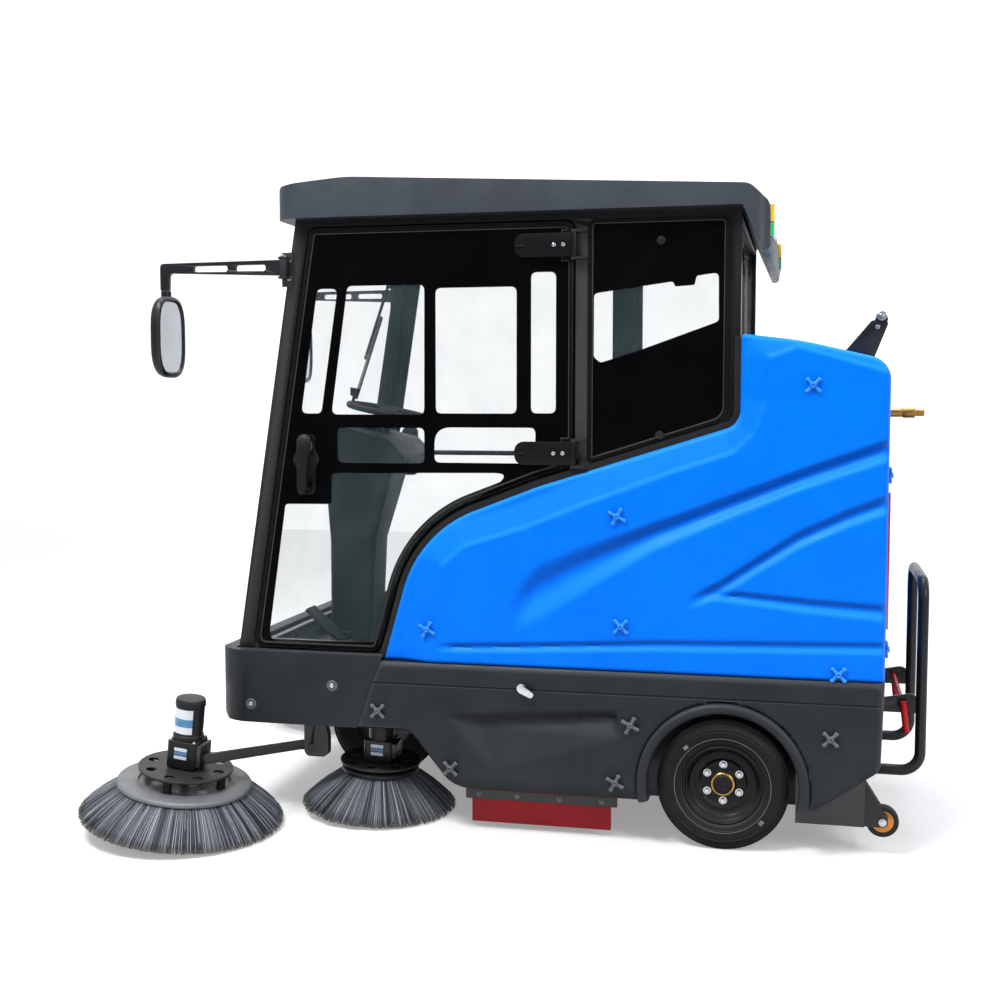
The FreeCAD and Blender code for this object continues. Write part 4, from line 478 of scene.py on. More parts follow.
def sheet_mesh(name, outer, holes, y0, y1, bevel=0.4):
    """A flat plate in the XZ plane, from outlines in mm, between two Y planes."""
    curve = bpy.data.curves.new(name, "CURVE")
    curve.dimensions = "2D"
    curve.fill_mode = "BOTH"
    half = abs(y1 - y0) / 2 * MM
    curve.extrude = max(1e-5, half - bevel * MM)
    curve.bevel_depth = bevel * MM
    curve.bevel_resolution = 1
    for loop in [outer] + list(holes):
        spline = curve.splines.new("POLY")
        spline.points.add(len(loop) - 1)
        for point, (x, z) in zip(spline.points, loop):
            point.co = (x * MM, z * MM, 0.0, 1.0)
        spline.use_cyclic_u = True
    obj = bpy.data.objects.new(name, curve)
    scene.collection.objects.link(obj)
    bpy.context.view_layer.update()
    mesh = bpy.data.meshes.new_from_object(obj)
    bpy.data.objects.remove(obj)
    turn = Matrix.Rotation(radians(90), 4, "X")
    mesh.transform(Matrix.Translation(mm(0, (y0 + y1) / 2, 0)) @ turn)
    mesh.name = name
    mesh.materials.clear()
    return mesh


def face_outline(node, level, tolerance=0.3):
    """Boundary of the flat face of a left node at Y = level, as (x, z) in mm, anticlockwise."""
    bm = clean_copy(node)
    plane = level * MM
    faces = [face for face in bm.faces if all(abs(vert.co.y - plane) < tolerance * MM for vert in face.verts)]
    keep = set(faces)
    follow = {}
    for face in faces:
        for edge in face.edges:
            if sum(1 for other in edge.link_faces if other in keep) == 1:
                a, b = edge.verts
                follow.setdefault(a, []).append(b)
                follow.setdefault(b, []).append(a)
    start = min(follow, key=lambda vert: (vert.co.x, vert.co.z))
    loop = [start]
    before, here = None, start
    while True:
        ahead = [vert for vert in follow[here] if vert is not before]
        before, here = here, ahead[0]
        if here is start or len(loop) > 4000:
            break
        loop.append(here)
    points = [((vert.co.x - AXLE_X) / MM, vert.co.z / MM) for vert in loop]
    bm.free()
    area = sum(a[0] * b[1] - b[0] * a[1] for a, b in zip(points, points[1:] + points[:1]))
    return points if area > 0 else points[::-1]


def distance_to(points, line, closed=True):
    """Distance of each (x, z) point from a line of straight runs."""
    line = np.array(line, float)
    ends = np.roll(line, -1, axis=0) if closed else line[1:]
    starts = line if closed else line[:-1]
    best = np.full(len(points), 1e9)
    for start, end in zip(starts, ends):
        run = end - start
        length = float(run @ run) or 1e-9
        t = np.clip(((points - start) @ run) / length, 0.0, 1.0)
        best = np.minimum(best, np.linalg.norm(points - (start + t[:, None] * run), axis=1))
    return best


def inside(points, outline):
    """Which (x, z) points lie inside a closed outline."""
    result = np.zeros(len(points), bool)
    x, z = points[:, 0], points[:, 1]
    for (x0, z0), (x1, z1) in zip(outline, list(outline[1:]) + [outline[0]]):
        if z0 == z1:
            continue
        crosses = (z0 > z) != (z1 > z)
        result ^= crosses & (x < (x1 - x0) * (z - z0) / (z1 - z0) + x0)
    return result


def relief_mesh(name, outline, level, depth, drop, pitch=11.0, edge=10.0, extra=()):
    """A side wall: an outline filled with a fine net, set back by drop(points), with a rounded
    edge and a rim that reaches inwards. Outward is -Y."""
    bm = bmesh.new()
    verts = [bm.verts.new((x, 0.0, z)) for x, z in outline]
    bm.faces.new(verts)
    for step in (0.12, 0.2, 0.28, 0.4):
        bmesh.ops.inset_region(bm, faces=[max(bm.faces, key=lambda face: face.calc_area())],
                               thickness=edge * step, use_even_offset=True)
    xs = [point[0] for point in outline]
    zs = [point[1] for point in outline]
    levels = list(np.arange(min(zs) + 3.7, max(zs), pitch)) + list(extra)
    cuts = [(Vector((x, 0, 0)), Vector((1, 0, 0))) for x in np.arange(min(xs) + 3.3, max(xs), pitch)]
    cuts += [(Vector((0, 0, z)), Vector((0, 0, 1))) for z in levels]
    for place, normal in cuts:
        bmesh.ops.bisect_plane(bm, geom=bm.verts[:] + bm.edges[:] + bm.faces[:], dist=1e-4,
                               plane_co=place, plane_no=normal)
    points = np.array([(vert.co.x, vert.co.z) for vert in bm.verts])
    gap = np.clip(edge - distance_to(points, outline), 0.0, edge)
    back = edge - np.sqrt(np.maximum(0.0, edge ** 2 - gap ** 2)) + drop(points)
    for vert, (x, z), offset in zip(bm.verts, points, back):
        vert.co = mm(x, level + offset, z)
    border = [item for item in bm.edges if item.is_boundary]
    rim = bmesh.ops.extrude_edge_only(bm, edges=border)
    for item in rim["geom"]:
        if isinstance(item, bmesh.types.BMVert):
            item.co.y = (level + depth) * MM
    bmesh.ops.recalc_face_normals(bm, faces=bm.faces)
    largest = max(bm.faces, key=lambda face: face.calc_area())
    if largest.normal.y > 0:
        bmesh.ops.reverse_faces(bm, faces=bm.faces)
    return to_mesh(bm, name, 50.0)


def smooth(value):
    value = np.clip(value, 0.0, 1.0)
    return value * value * (3.0 - 2.0 * value)


def groove(points, upper, lower, depth, wall):
    """Set-back of a channel between an upper and a lower line: steep above, gentle below."""
    x, z = points[:, 0], points[:, 1]
    top = np.interp(x, [p[0] for p in upper], [p[1] for p in upper])
    low = np.interp(x, [p[0] for p in lower], [p[1] for p in lower])
    v = (top - z) / np.maximum(4.0, top - low)
    shape = np.where(v < wall, smooth(v / wall), 1.0 - smooth((v - wall) / (1.0 - wall)))
    shape = np.where((v <= 0) | (v >= 1), 0.0, shape)
    begin = smooth((x - upper[0][0]) / GROOVE_RUN_IN)
    return depth * shape * begin


def facets(points, corners, heights, triangles):
    """Set-back over a net of flat triangles."""
    result = np.zeros(len(points))
    for a, b, c in triangles:
        pa, pb, pc = (np.array(corners[index], float) for index in (a, b, c))
        det = (pb[1] - pc[1]) * (pa[0] - pc[0]) + (pc[0] - pb[0]) * (pa[1] - pc[1])
        u = ((pb[1] - pc[1]) * (points[:, 0] - pc[0]) + (pc[0] - pb[0]) * (points[:, 1] - pc[1])) / det
        v = ((pc[1] - pa[1]) * (points[:, 0] - pc[0]) + (pa[0] - pc[0]) * (points[:, 1] - pc[1])) / det
        w = 1.0 - u - v
        within = (u >= -1e-9) & (v >= -1e-9) & (w >= -1e-9)
        value = u * heights[a] + v * heights[b] + w * heights[c]
        result = np.where(within, value, result)
    return result


def skin(bm, rings):
    """Faces between neighbouring rings of equally many points."""
    for low, high in zip(rings, rings[1:]):
        for step in range(len(low)):
            after = (step + 1) % len(low)
            bm.faces.new((low[step], low[after], high[after], high[step]))


# which corners of a box, in x, y, z order, make each of its sides
BOX_SIDES = ((0, 1, 3, 2), (4, 6, 7, 5), (0, 4, 5, 1), (2, 3, 7, 6), (0, 2, 6, 4), (1, 5, 7, 3))


def box_faces(bm, corners):
    verts = [bm.verts.new(corner) for corner in corners]
    return [bm.faces.new([verts[index] for index in side]) for side in BOX_SIDES]


def turned(name, body, slot, parts, nodes=(), look=None):
    """A piece made of turned parts, each a profile, a matrix and a number of segments."""
    bm = bmesh.new()
    for part in parts:
        lathe(bm, *part)
    return piece(name, to_mesh(bm, name), body, slot, nodes, look)


# ---- blue body --------------------------------------------------------------------------
FIELD_EDGE = [(-969, 560), (-969, 608), (-941, 745), (-909, 882), (-834, 947), (-639, 1008), (-418, 1098),
              (-168, 1192), (26, 1258), (81, 1313), (121, 1412), (128, 1549), (212, 1580), (486, 1500)]
GROOVE_A_TOP = [(-700, 719), (-672, 808), (-595, 901), (-485, 950), (-316, 1010), (-118, 1080), (76, 1155),
                (266, 1228), (486, 1308)]
GROOVE_A_LOW = [(-700, 640), (-560, 722), (-366, 850), (-216, 945), (-19, 1036), (219, 1140), (486, 1235)]
GROOVE_B_TOP = [(-135, 800), (-17, 862), (99, 942), (222, 1024), (362, 1092), (486, 1142)]
GROOVE_B_LOW = [(-135, 748), (-17, 806), (99, 884), (222, 964), (362, 1030), (486, 1078)]
GROOVE_C_TOP = [(-75, 828), (40, 832), (250, 816), (486, 806)]
GROOVE_C_LOW = [(-75, 800), (40, 790), (250, 766), (486, 748)]
GROOVE_D_TOP = [(-955, 628), (-700, 640), (-213, 668), (486, 690)]
GROOVE_D_LOW = [(-955, 598), (-700, 606), (-213, 630), (486, 648)]
REAR_X = 486.0
# upper line, lower line, depth, and the share of the width that its steep upper wall takes
GROOVES = ((GROOVE_A_TOP, GROOVE_A_LOW, 24.0, 0.46), (GROOVE_B_TOP, GROOVE_B_LOW, 17.0, 0.52),
           (GROOVE_C_TOP, GROOVE_C_LOW, 12.0, 0.5), (GROOVE_D_TOP, GROOVE_D_LOW, 10.0, 0.5))
GROOVE_RUN_IN = 110.0
REAR_CORNER_R = 28.0
DEEPEST_DROP = 31.0


def panel_drop(points):
    field = FIELD_EDGE + [(700, 1500), (700, 400), (-969, 400)]
    away = distance_to(points, FIELD_EDGE, closed=False)
    chamfer = np.where(inside(points, field), 0.0, 4.0 * smooth(away / 7.0) + np.clip(away * 0.24, 0.0, 20.0))
    total = chamfer
    for top, low, depth, wall in GROOVES:
        total = total + groove(points, top, low, depth, wall)
    rear = np.clip(REAR_CORNER_R - (REAR_X - points[:, 0]), 0.0, REAR_CORNER_R)
    total = total + REAR_CORNER_R - np.sqrt(np.maximum(0.0, REAR_CORNER_R ** 2 - rear ** 2))
    return np.minimum(total, DEEPEST_DROP)


def waist_seal(outline):
    """Rubber strip that closes the gap between the cab and the blue panel."""
    grown_line = inset_of(outline, -20.0)
    inner_line = inset_of(outline, 12.0)
    bm = bmesh.new()
    count = len(outline)
    for index in range(count):
        after = (index + 1) % count
        near, far = outline[index], outline[after]
        if max(near[0], far[0]) > 41.0 or min(near[1], far[1]) < 555.0:
            continue
        if near[1] < 561.0 and far[1] < 561.0:
            continue
        corners = (grown_line[index], grown_line[after], inner_line[after], inner_line[index])
        rings = [[bm.verts.new(mm(x, y, z)) for x, z in corners] for y in (-603.0, -600.0, -594.0)]
        skin(bm, rings)
        bm.faces.new(rings[0])
        bm.faces.new(rings[-1])
    bmesh.ops.remove_doubles(bm, verts=bm.verts, dist=1e-6)
    bmesh.ops.recalc_face_normals(bm, faces=bm.faces)
    return to_mesh(bm, "waist_seal")


def blue_body():
    outline = face_outline("body_panel_left", -640.0)
    mesh = relief_mesh("body_panel", outline, -640.0, 40.0, panel_drop, 7.5, 10.0)
    pair("body_panel_look", mesh, "chassis", "blue_plastic", "body_panel")
    pair("waist_seal", waist_seal(outline), "chassis", "cab_paint", None, "seal_rubber")
    refine("rear_hood", 5.0, 3)


# ---- lower body -------------------------------------------------------------------------
WEDGE = [(-908, 396), (-326, 440), (-326, 346), (-735, 218), (-812, 300), (-779, 361), (-340, 407)]
WEDGE_DEPTH = [0, 0, 0, 0, 0, 27.0, 27.0]
WEDGE_FACETS = [(0, 1, 6), (0, 6, 5), (1, 2, 6), (5, 6, 2), (5, 2, 3), (0, 5, 4), (4, 5, 3)]
BELT_SEAM = 489.0
TYRE_R = 208.0
ARCH_R = 235.0


def cover_drop(points):
    x, z = points[:, 0], points[:, 1]
    total = facets(points, WEDGE, WEDGE_DEPTH, WEDGE_FACETS)
    below = smooth((BELT_SEAM - z) / 3.0)
    seam = np.clip(1.0 - np.abs(z - BELT_SEAM) / 4.0, 0.0, 1.0) * 5.0
    total = total + np.where(x > -1150, seam + 2.5 * below, 0.0)
    rear = np.clip(24.0 - (REAR_X - x), 0.0, 24.0)
    total = total + 24.0 - np.sqrt(np.maximum(0.0, 24.0 ** 2 - rear ** 2))
    foot = np.clip(185.0 - z, 0.0, 40.0)
    return np.minimum(total + foot * 0.2, 30.0)


def arch_lip():
    """Raised lip round the rear wheel opening."""
    start = atan2(150.0 - TYRE_R, ARCH_R + 16)
    profile = [(269, -645), (268, -653), (264, -659), (257, -661.8), (246, -661.5), (239, -658), (235.5, -652),
               (235, -642), (235, -600)]
    bm = bmesh.new()
    frame_matrix = Matrix.Translation(mm(0, 0, TYRE_R)) @ Matrix.Rotation(radians(90), 4, "X")
    lathe(bm, [(r, -y) for r, y in profile], frame_matrix, 72, start, pi - 2 * start)
    bmesh.ops.recalc_face_normals(bm, faces=bm.faces)
    return to_mesh(bm, "arch_lip")


def lower_body():
    outline = face_outline("lower_cover_left", -650.0)
    levels = (BELT_SEAM - 4, BELT_SEAM - 2, BELT_SEAM, BELT_SEAM + 2, BELT_SEAM + 4)
    mesh = relief_mesh("lower_cover", outline, -650.0, 50.0, cover_drop, 11.0, 8.0, levels)
    pair("lower_cover_look", mesh, "chassis", "dark_plastic", "lower_cover")
    pair("arch_lip", arch_lip(), "chassis", "dark_plastic")
    refine("front_bumper", 7.0, 3)
    strip = lambda centre: "skirt_rubber" if centre.z < 0.09 else "frame_paint"
    refine("side_skirts", 1.2, 2, strip)
    bm = bmesh.new()
    for x in (-800, -670, -530, -390):
        add_bolt(bm, side_axis(x, -574, 116), 7.0, 3.0)
    pair("skirt_screws", to_mesh(bm, "skirt_screws"), "chassis", "dark_knob")


def add_bolt(bm, matrix, radius, height):
    """Hexagon bolt head on a washer."""
    washer = rounded([(0, 0), (radius * 1.35, 0), (radius * 1.35, height * 0.3), (0, height * 0.3)], 0.4)
    lathe(bm, washer, matrix, 28)
    lathe(bm, rounded([(0, height * 0.3), (radius, height * 0.3), (radius, height * 0.9), (radius * 0.85, height),
                       (0, height)], 0.3), matrix, 6)


KNOB_REACH = 31.0


def star_knob(bm, matrix, turn):
    """Moulded hub with four rounded, swelling arms and a countersunk screw."""
    hub = rounded([(0, 0), (10, 0), (11, 6), (10, 13), (7, 16), (4.2, 16), (3.4, 12.5), (0, 12.5)], 1.6)
    lathe(bm, hub, matrix, 28)
    for arm in range(4):
        angle = turn + arm * pi / 2
        spin = matrix @ Matrix.Rotation(angle, 4, "Z")
        rings = []
        for along, half, rise in ((6, 7.6, 11.0), (13, 6.0, 10.0), (20, 5.8, 9.5), (25, 7.4, 10.0),
                                  (KNOB_REACH - 2, 6.8, 9.0), (KNOB_REACH, 4.2, 6.5)):
            ring = []
            for step in range(10):
                around = 2 * pi * step / 10
                ring.append(bm.verts.new(spin @ Vector((along * MM, half * cos(around) * MM,
                                                        (6.5 + rise * 0.5 * sin(around)) * MM))))
            rings.append(ring)
        skin(bm, rings)
        bm.faces.new(rings[-1])


BLUE_KNOBS = ((258.0, 1464.0), (-336.0, 1054.0), (-322.0, 705.0), (-958.0, 672.0), (347.0, 582.0))
DARK_KNOBS = ((-1125.0, 396.0), (-288.0, 393.0), (-877.0, 218.0), (-336.0, 205.0), (327.0, 383.0))
BUMPER_SCREWS = ((-1578.0, 394.0), (-1288.0, 470.0))


def knobs():
    for name, places, level in (("blue_knobs", BLUE_KNOBS, -640.0), ("dark_knobs", DARK_KNOBS, -650.0)):
        bm = bmesh.new()
        for index, (x, z) in enumerate(places):
            for side in (1, -1):
                matrix = axis_matrix(mm(x, level * side, z), Vector((0, -side, 0)))
                star_knob(bm, matrix, pi / 4 + radians(17 * (index % 2)))
        if name == "blue_knobs":
            for y in (-545.0, 545.0):
                for z in (650.0, 1190.0):
                    star_knob(bm, axis_matrix(mm(REAR_X, y, z), Vector((1, 0, 0))), pi / 4)
        else:
            for x, z in BUMPER_SCREWS:
                for side in (1, -1):
                    matrix = axis_matrix(mm(x, -640.0 * side, z), Vector((0, -side, 0)))
                    dish = rounded([(19, 0.3), (17, 1.8), (13, 0.6), (9, 0.5), (9, 4), (7, 5.6), (3, 5.9),
                                    (2.6, 4.4), (0, 4.4)], 1.0)
                    lathe(bm, dish, matrix, 36)
        bmesh.ops.recalc_face_normals(bm, faces=bm.faces)
        slot = SLOTS[name]
        piece(name + "_look", to_mesh(bm, name + "_look"), "chassis", slot, (name,))
    bm = bmesh.new()
    for x, z in BUMPER_SCREWS:
        lathe(bm, rounded([(0, 0.3), (7.6, 0.3), (7.6, 5.0), (5.5, 6.4), (2.6, 6.6), (2.2, 5.0), (0, 5.0)], 0.8),
              side_axis(x, -640.0, z), 28)
    pair("bumper_screw_heads", to_mesh(bm, "bumper_screw_heads"), "chassis", "bright_zinc")


# ---- cab --------------------------------------------------------------------------------
GLASS_OUT = -597.0
WINDOWS = [
    [(-1343, 1785), (-1272, 1785), (-1332, 1375), (-1403, 1375)],
    [(-1238, 1793), (-975, 1793), (-977, 1372), (-1297, 1372)],
    [(-938, 1781), (-669, 1781), (-669, 1376), (-938, 1376)],
    [(-622, 1825), (-541, 1825), (-541, 1377), (-622, 1377)],
    [(-943, 1331, 60), (-607, 1331), (-607, 1216), (-943, 1216)],
    [(-1277, 1329), (-977, 1329), (-977, 1213), (-1277, 1213)],
    [(-1299, 1178), (-683, 1185), (-789, 1106, 120), (-924, 1035, 200), (-1027, 927, 160), (-1090, 792, 100),
     (-1139, 616, 30), (-1531, 600, 40), (-1463, 1072, 14), (-1300, 1074, 8)],
]
FAR_QUARTER = [(-408, 1250), (-34, 1385, 50), (-34, 1950), (-408, 1950)]
FAR_WINDOW = [(-1532, 602, 30), (-1139, 602, 30), (-1090, 792, 100), (-1027, 927, 160), (-924, 1035, 200),
              (-789, 1106, 120), (-530, 1212, 20), (-530, 1940, 20), (-1330, 1940, 20)]
QUARTER_WINDOW = [(-421, 1755), (-172, 1788), (-166, 1772, 6), (-106, 1776, 6), (-100, 1804, 10), (-32, 1813),
                  (-30, 1663), (-286, 1572), (-400, 1537), (-421, 1556)]


def inset_of(outline, distance):
    """A closed line of (x, z) points moved inwards."""
    line = np.array(outline, float)
    before = line - np.roll(line, 1, axis=0)
    after = np.roll(line, -1, axis=0) - line
    tangent = before / np.maximum(1e-9, np.linalg.norm(before, axis=1))[:, None]
    tangent = tangent + after / np.maximum(1e-9, np.linalg.norm(after, axis=1))[:, None]
    tangent = tangent / np.maximum(1e-9, np.linalg.norm(tangent, axis=1))[:, None]
    normal = np.stack([-tangent[:, 1], tangent[:, 0]], axis=1)
    return [tuple(point) for point in line + normal * distance]


def ring_strip(name, outline, near, far, y0, y1, bevel):
    """A strip that follows an outline, between two insets."""
    outer = inset_of(outline, near) if near else list(outline)
    return sheet_mesh(name, outer, [inset_of(outline, far)], y0, y1, bevel)


def doors():
    outline = face_outline("door_glass_left", GLASS_OUT)
    holes = [outline_of(window, 20.0) for window in WINDOWS]
    printed = sheet_mesh("door_print", inset_of(outline, 2.0), holes, GLASS_OUT + 0.2, GLASS_OUT + 1.4, 0.2)
    plain = sheet_mesh("door_print_far", inset_of(outline, 2.0), [outline_of(FAR_WINDOW, 20.0)],
                       GLASS_OUT + 0.2, GLASS_OUT + 1.4, 0.2)
    clear = sheet_mesh("door_glass", outline, [], GLASS_OUT + 1.5, -592.0, 0.8)
    seal = ring_strip("door_seal", outline, 0, 13.0, GLASS_OUT - 3.0, GLASS_OUT + 0.6, 1.4)
    gap = ring_strip("door_gap_seal", outline, -9.0, 10.0, -568.0, -562.0, 1.0)
    pair("door_gap_seal", gap, "chassis", "cab_paint", None, "seal_rubber")
    # a thin pale strip along the seal: a painted highlight on its edge
    line = ring_strip("door_painted_seal_highlight", outline, 15.0, 18.0, GLASS_OUT - 0.6, GLASS_OUT + 0.2, 0.2)
    pair("door_glass_look", clear, "door", "cab_glass", "door_glass")
    piece("door_print_left", printed, "door_left", "cab_glass", (), "glass_print")
    piece("door_print_right", mirrored(plain, "door_print_right"), "door_right", "cab_glass", (), "glass_print")
    pair("door_seal", seal, "door", "cab_paint", None, "seal_rubber")
    pair("door_painted_seal_highlight", line, "door", "cab_paint", None, "seal_highlight_paint")
    for side in SIDES:
        refine("door_frame_" + side, 2.4, 3)
    bm = bmesh.new()
    for level in (1213.0, 1870.0):
        pin = axis_matrix(mm(-482, -612, level + 74), Vector((0, 0, 1)))
        lathe(bm, rounded([(0, -1), (6.5, -1), (6.5, 6.5), (5, 9), (0, 9.4)], 1.2), pin, 24)
        for x in (-515, -545):
            lathe(bm, rounded([(0, 0), (7, 0), (7, 3), (5, 4.6), (2.4, 4.6), (2, 3), (0, 3)], 0.8),
                  side_axis(x, -618, level + 37), 24)
    pair("hinge_screws", to_mesh(bm, "hinge_screws"), "door", "cab_paint", None, "bright_zinc")
    bm = bmesh.new()
    cup = rounded([(0, 0), (24, 0), (24, 3), (20, 5), (16, 3.4), (9, 3.2), (8, 6.5), (0, 7)], 1.4)
    lathe(bm, cup, side_axis(HANDLE_X, -603, 1268), 36)
    pair("handle_lock", to_mesh(bm, "handle_lock"), "door", "interior_plastic", None, "machine_grey")
    handle_lever()
    bm = bmesh.new()
    for level in (1900, 1243):
        slot_block(bm, (-665, -640), (-622.5, -618), (level, level + 8), 2.0)
    pair("hinge_slots", to_mesh(bm, "hinge_slots"), "door", "cab_paint", None, "seal_rubber")


HANDLE_X = -1386.0


def handle_lever():
    """Swelling pull lever with its pivot barrel, on a diamond-shaped base."""
    levels = ((1106, 9, 8, -625), (1112, 14, 12, -625), (1122, 17, 14, -625), (1140, 18, 13, -629),
              (1170, 17, 11, -634), (1205, 18, 10, -636), (1240, 21, 11, -635), (1270, 24, 13, -632),
              (1290, 23, 13, -630), (1302, 16, 10, -629), (1307, 7, 5, -629))
    bm = bmesh.new()
    rings = []
    for z, half, deep, y in levels:
        middle = HANDLE_X + (z - 1205) * 0.05
        rings.append([bm.verts.new(mm(middle + half * cos(pi * step / 10), y + deep * sin(pi * step / 10), z))
                      for step in range(20)])
    skin(bm, rings)
    bm.faces.new(rings[0])
    bm.faces.new(rings[-1])
    barrel = [(0, -17), (6, -17), (7.4, -15), (7.4, 15), (6, 17), (0, 17)]
    lathe(bm, rounded(barrel, 1.0), axis_matrix(mm(HANDLE_X, -611, 1122), Vector((1, 0, 0))), 28)
    slot_block(bm, (-1396, -1376), (-630, -606), (1114, 1130), 3.0)
    slot_block(bm, (-1394, -1378), (-626, -604), (1272, 1290), 3.0)
    bmesh.ops.recalc_face_normals(bm, faces=bm.faces)
    lever = to_mesh(bm, "door_handle_look", 50.0)
    pair("door_handle_look", lever, "door_handle", "interior_plastic", "door_handle")
    diamond = outline_of([(HANDLE_X, 1130, 18), (-1340, 1222, 24), (HANDLE_X, 1318, 18), (-1432, 1222, 24)])
    base = sheet_mesh("handle_base", diamond, [], -603.4, -597.0, 1.6)
    pair("handle_base", base, "door", "interior_plastic")


def slot_block(bm, xs, ys, zs, width):
    """A block with softened edges."""
    faces = box_faces(bm, [mm(x, y, z) for x in xs for y in ys for z in zs])
    bmesh.ops.recalc_face_normals(bm, faces=faces)
    edges = list({edge for face in faces for edge in face.edges})
    bmesh.ops.bevel(bm, geom=edges, offset=width * MM, segments=3, profile=0.6, affect="EDGES", clamp_overlap=True)


def cab():
    refine("cab_frame", 2.0, 2)
    glass = clean_copy("cab_glass")
    quarter = [group for group in islands(glass)
               if abs(centre_of(group).y) > 0.57 and group_height(group) > 0.2]
    drop = [face for group in quarter for face in group]
    border = quarter_border(quarter)
    bmesh.ops.delete(glass, geom=drop, context="FACES")
    for group in islands(glass):
        if group_height(group) < 0.05:
            for face in group:
                face.material_index = 1
    soften(glass, 1.0)
    mesh = to_mesh(glass, "cab_glass_look")
    mesh.materials.append(material_for("cab_glass"))
    mesh.materials.append(material_for("frame_paint"))
    piece("cab_glass_look", mesh, "chassis", "cab_glass", ("cab_glass",))
    hole = outline_of(QUARTER_WINDOW, 16.0)
    printed = sheet_mesh("quarter_print", inset_of(border, 1.0), [hole], -589.6, -588.4, 0.2)
    plain = sheet_mesh("quarter_print_far", inset_of(border, 1.0), [outline_of(FAR_QUARTER, 20.0)],
                       -589.6, -588.4, 0.2)
    piece("quarter_print_left", printed, "chassis", "cab_glass", (), "glass_print")
    piece("quarter_print_right", mirrored(plain, "quarter_print_right"), "chassis", "cab_glass", (), "glass_print")
    pair("quarter_glass", sheet_mesh("quarter_glass", border, [], -588.2, -583.0, 0.8), "chassis", "cab_glass")
    seal = ring_strip("quarter_seal", border, 0, 11.0, -592.5, -589.4, 1.3)
    pair("quarter_seal", seal, "chassis", "cab_paint", None, "seal_rubber")
    # a thin pale strip along the seal: a painted highlight on its edge
    line = ring_strip("quarter_painted_seal_highlight", border, 13.0, 15.5, -590.3, -589.5, 0.2)
    pair("quarter_painted_seal_highlight", line, "chassis", "cab_paint", None, "seal_highlight_paint")
    refine("wiper", 1.2)
    refine("roof", 9.0, 4).data.materials[0] = material_for("roof_plastic")


def group_height(group):
    levels = [vert.co.z for face in group for vert in face.verts]
    return max(levels) - min(levels)


def quarter_border(groups):
    """Outline of the left quarter glass, as (x, z) in mm, anticlockwise."""
    for group in groups:
        if centre_of(group).y < 0:
            face = min(group, key=lambda item: item.calc_center_median().y)
            points = [((vert.co.x - AXLE_X) / MM, vert.co.z / MM) for vert in face.verts]
            area = sum(a[0] * b[1] - b[0] * a[1] for a, b in zip(points, points[1:] + points[:1]))
            return points if area > 0 else points[::-1]


# ---- driver's place ---------------------------------------------------------------------
def driver_place():
    refine("steering_pedestal", 5.0, 3)
    refine("steering_wheel", 2.0, 2)
    refine("foot_pedal", 2.0, 2)
    bm = bmesh.new()
    slot_block(bm, (-1452, -1320), (-60, 60), (1306, 1321), 5.0)
    piece("dash_screen_housing", to_mesh(bm, "dash_screen_housing"), "chassis", "interior_plastic")
    bm = bmesh.new()
    for y in (-150, -120, -92):
        lathe(bm, rounded([(0, 0), (9, 0), (9, 5), (7, 8), (0, 8.6)], 1.2),
              axis_matrix(mm(-1330, y, 1296), Vector((0.22, 0, 1))), 24)
    piece("dash_switches", to_mesh(bm, "dash_switches"), "chassis", "interior_plastic", (), "machine_grey")
    bm = bmesh.new()
    profile = []
    for fold in range(7):
        profile += [(44 - 3.2 * fold, 6 + fold * 9.0), (36 - 3.0 * fold, 10.5 + fold * 9.0)]
    lathe(bm, rounded(profile, 2.0), axis_matrix(mm(-1452, -110, 500), Vector((0.25, 0, 1))), 40)
    piece("pedal_bellows", to_mesh(bm, "pedal_bellows", 60.0), "chassis", "interior_plastic", (), "steering_rubber")


def cushion(name, node, lift, cap, direction):
    """A padded block that swells under pressure, from the CAD node's shape drawn in a little."""
    low, high = (Vector(corner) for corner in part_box(node))
    bm = bmesh.new()
    bm.from_mesh(frame["nodes"][node].data)
    bmesh.ops.remove_doubles(bm, verts=bm.verts, dist=2e-5)
    bmesh.ops.recalc_face_normals(bm, faces=bm.faces)
    middle = (low + high) / 2
    size = high - low
    for vert in bm.verts:
        for axis in range(3):
            draw = lift[axis] * MM
            vert.co[axis] = middle[axis] + (vert.co[axis] - middle[axis]) * (1.0 - 2 * draw / size[axis])
    mesh = to_mesh(bm, name)
    obj = bpy.data.objects.new(name, mesh)
    scene.collection.objects.link(obj)
    bpy.context.view_layer.objects.active = obj
    remesh = obj.modifiers.new("remesh", "REMESH")
    remesh.mode = "VOXEL"
    remesh.voxel_size = 0.008
    bpy.context.view_layer.update()
    evaluated = obj.evaluated_get(bpy.context.evaluated_depsgraph_get())
    grid = bpy.data.meshes.new_from_object(evaluated)
    obj.modifiers.clear()
    obj.data = grid
    rest = np.array([vert.co[:] for vert in grid.vertices])
    cloth = obj.modifiers.new("cloth", "CLOTH")
    cloth.settings.use_pressure = True
    cloth.settings.uniform_pressure_force = 4.0
    cloth.settings.effector_weights.gravity = 0.0
    for number in range(1, 21):
        scene.frame_set(number)
    moved = bpy.data.meshes.new_from_object(obj.evaluated_get(bpy.context.evaluated_depsgraph_get()))
    after = np.array([vert.co[:] for vert in moved.vertices])
    obj.modifiers.clear()
    scene.frame_set(1)
    step = after - rest
    length = np.linalg.norm(step, axis=1)
    step *= np.minimum(1.0, cap * MM / np.maximum(1e-9, length))[:, None]
    for vert, place in zip(grid.vertices, rest + step):
        vert.co = place
    bpy.data.meshes.remove(moved)
    sew(grid, low, high, direction)
    smoothing = obj.modifiers.new("smooth", "SUBSURF")
    smoothing.levels = 1
    smoothing.render_levels = 1
    grid.shade_smooth()
    grid.materials.clear()
    grid.materials.append(material_for("seat_vinyl"))
    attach(obj, "seat")
    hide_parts(node)
    return obj


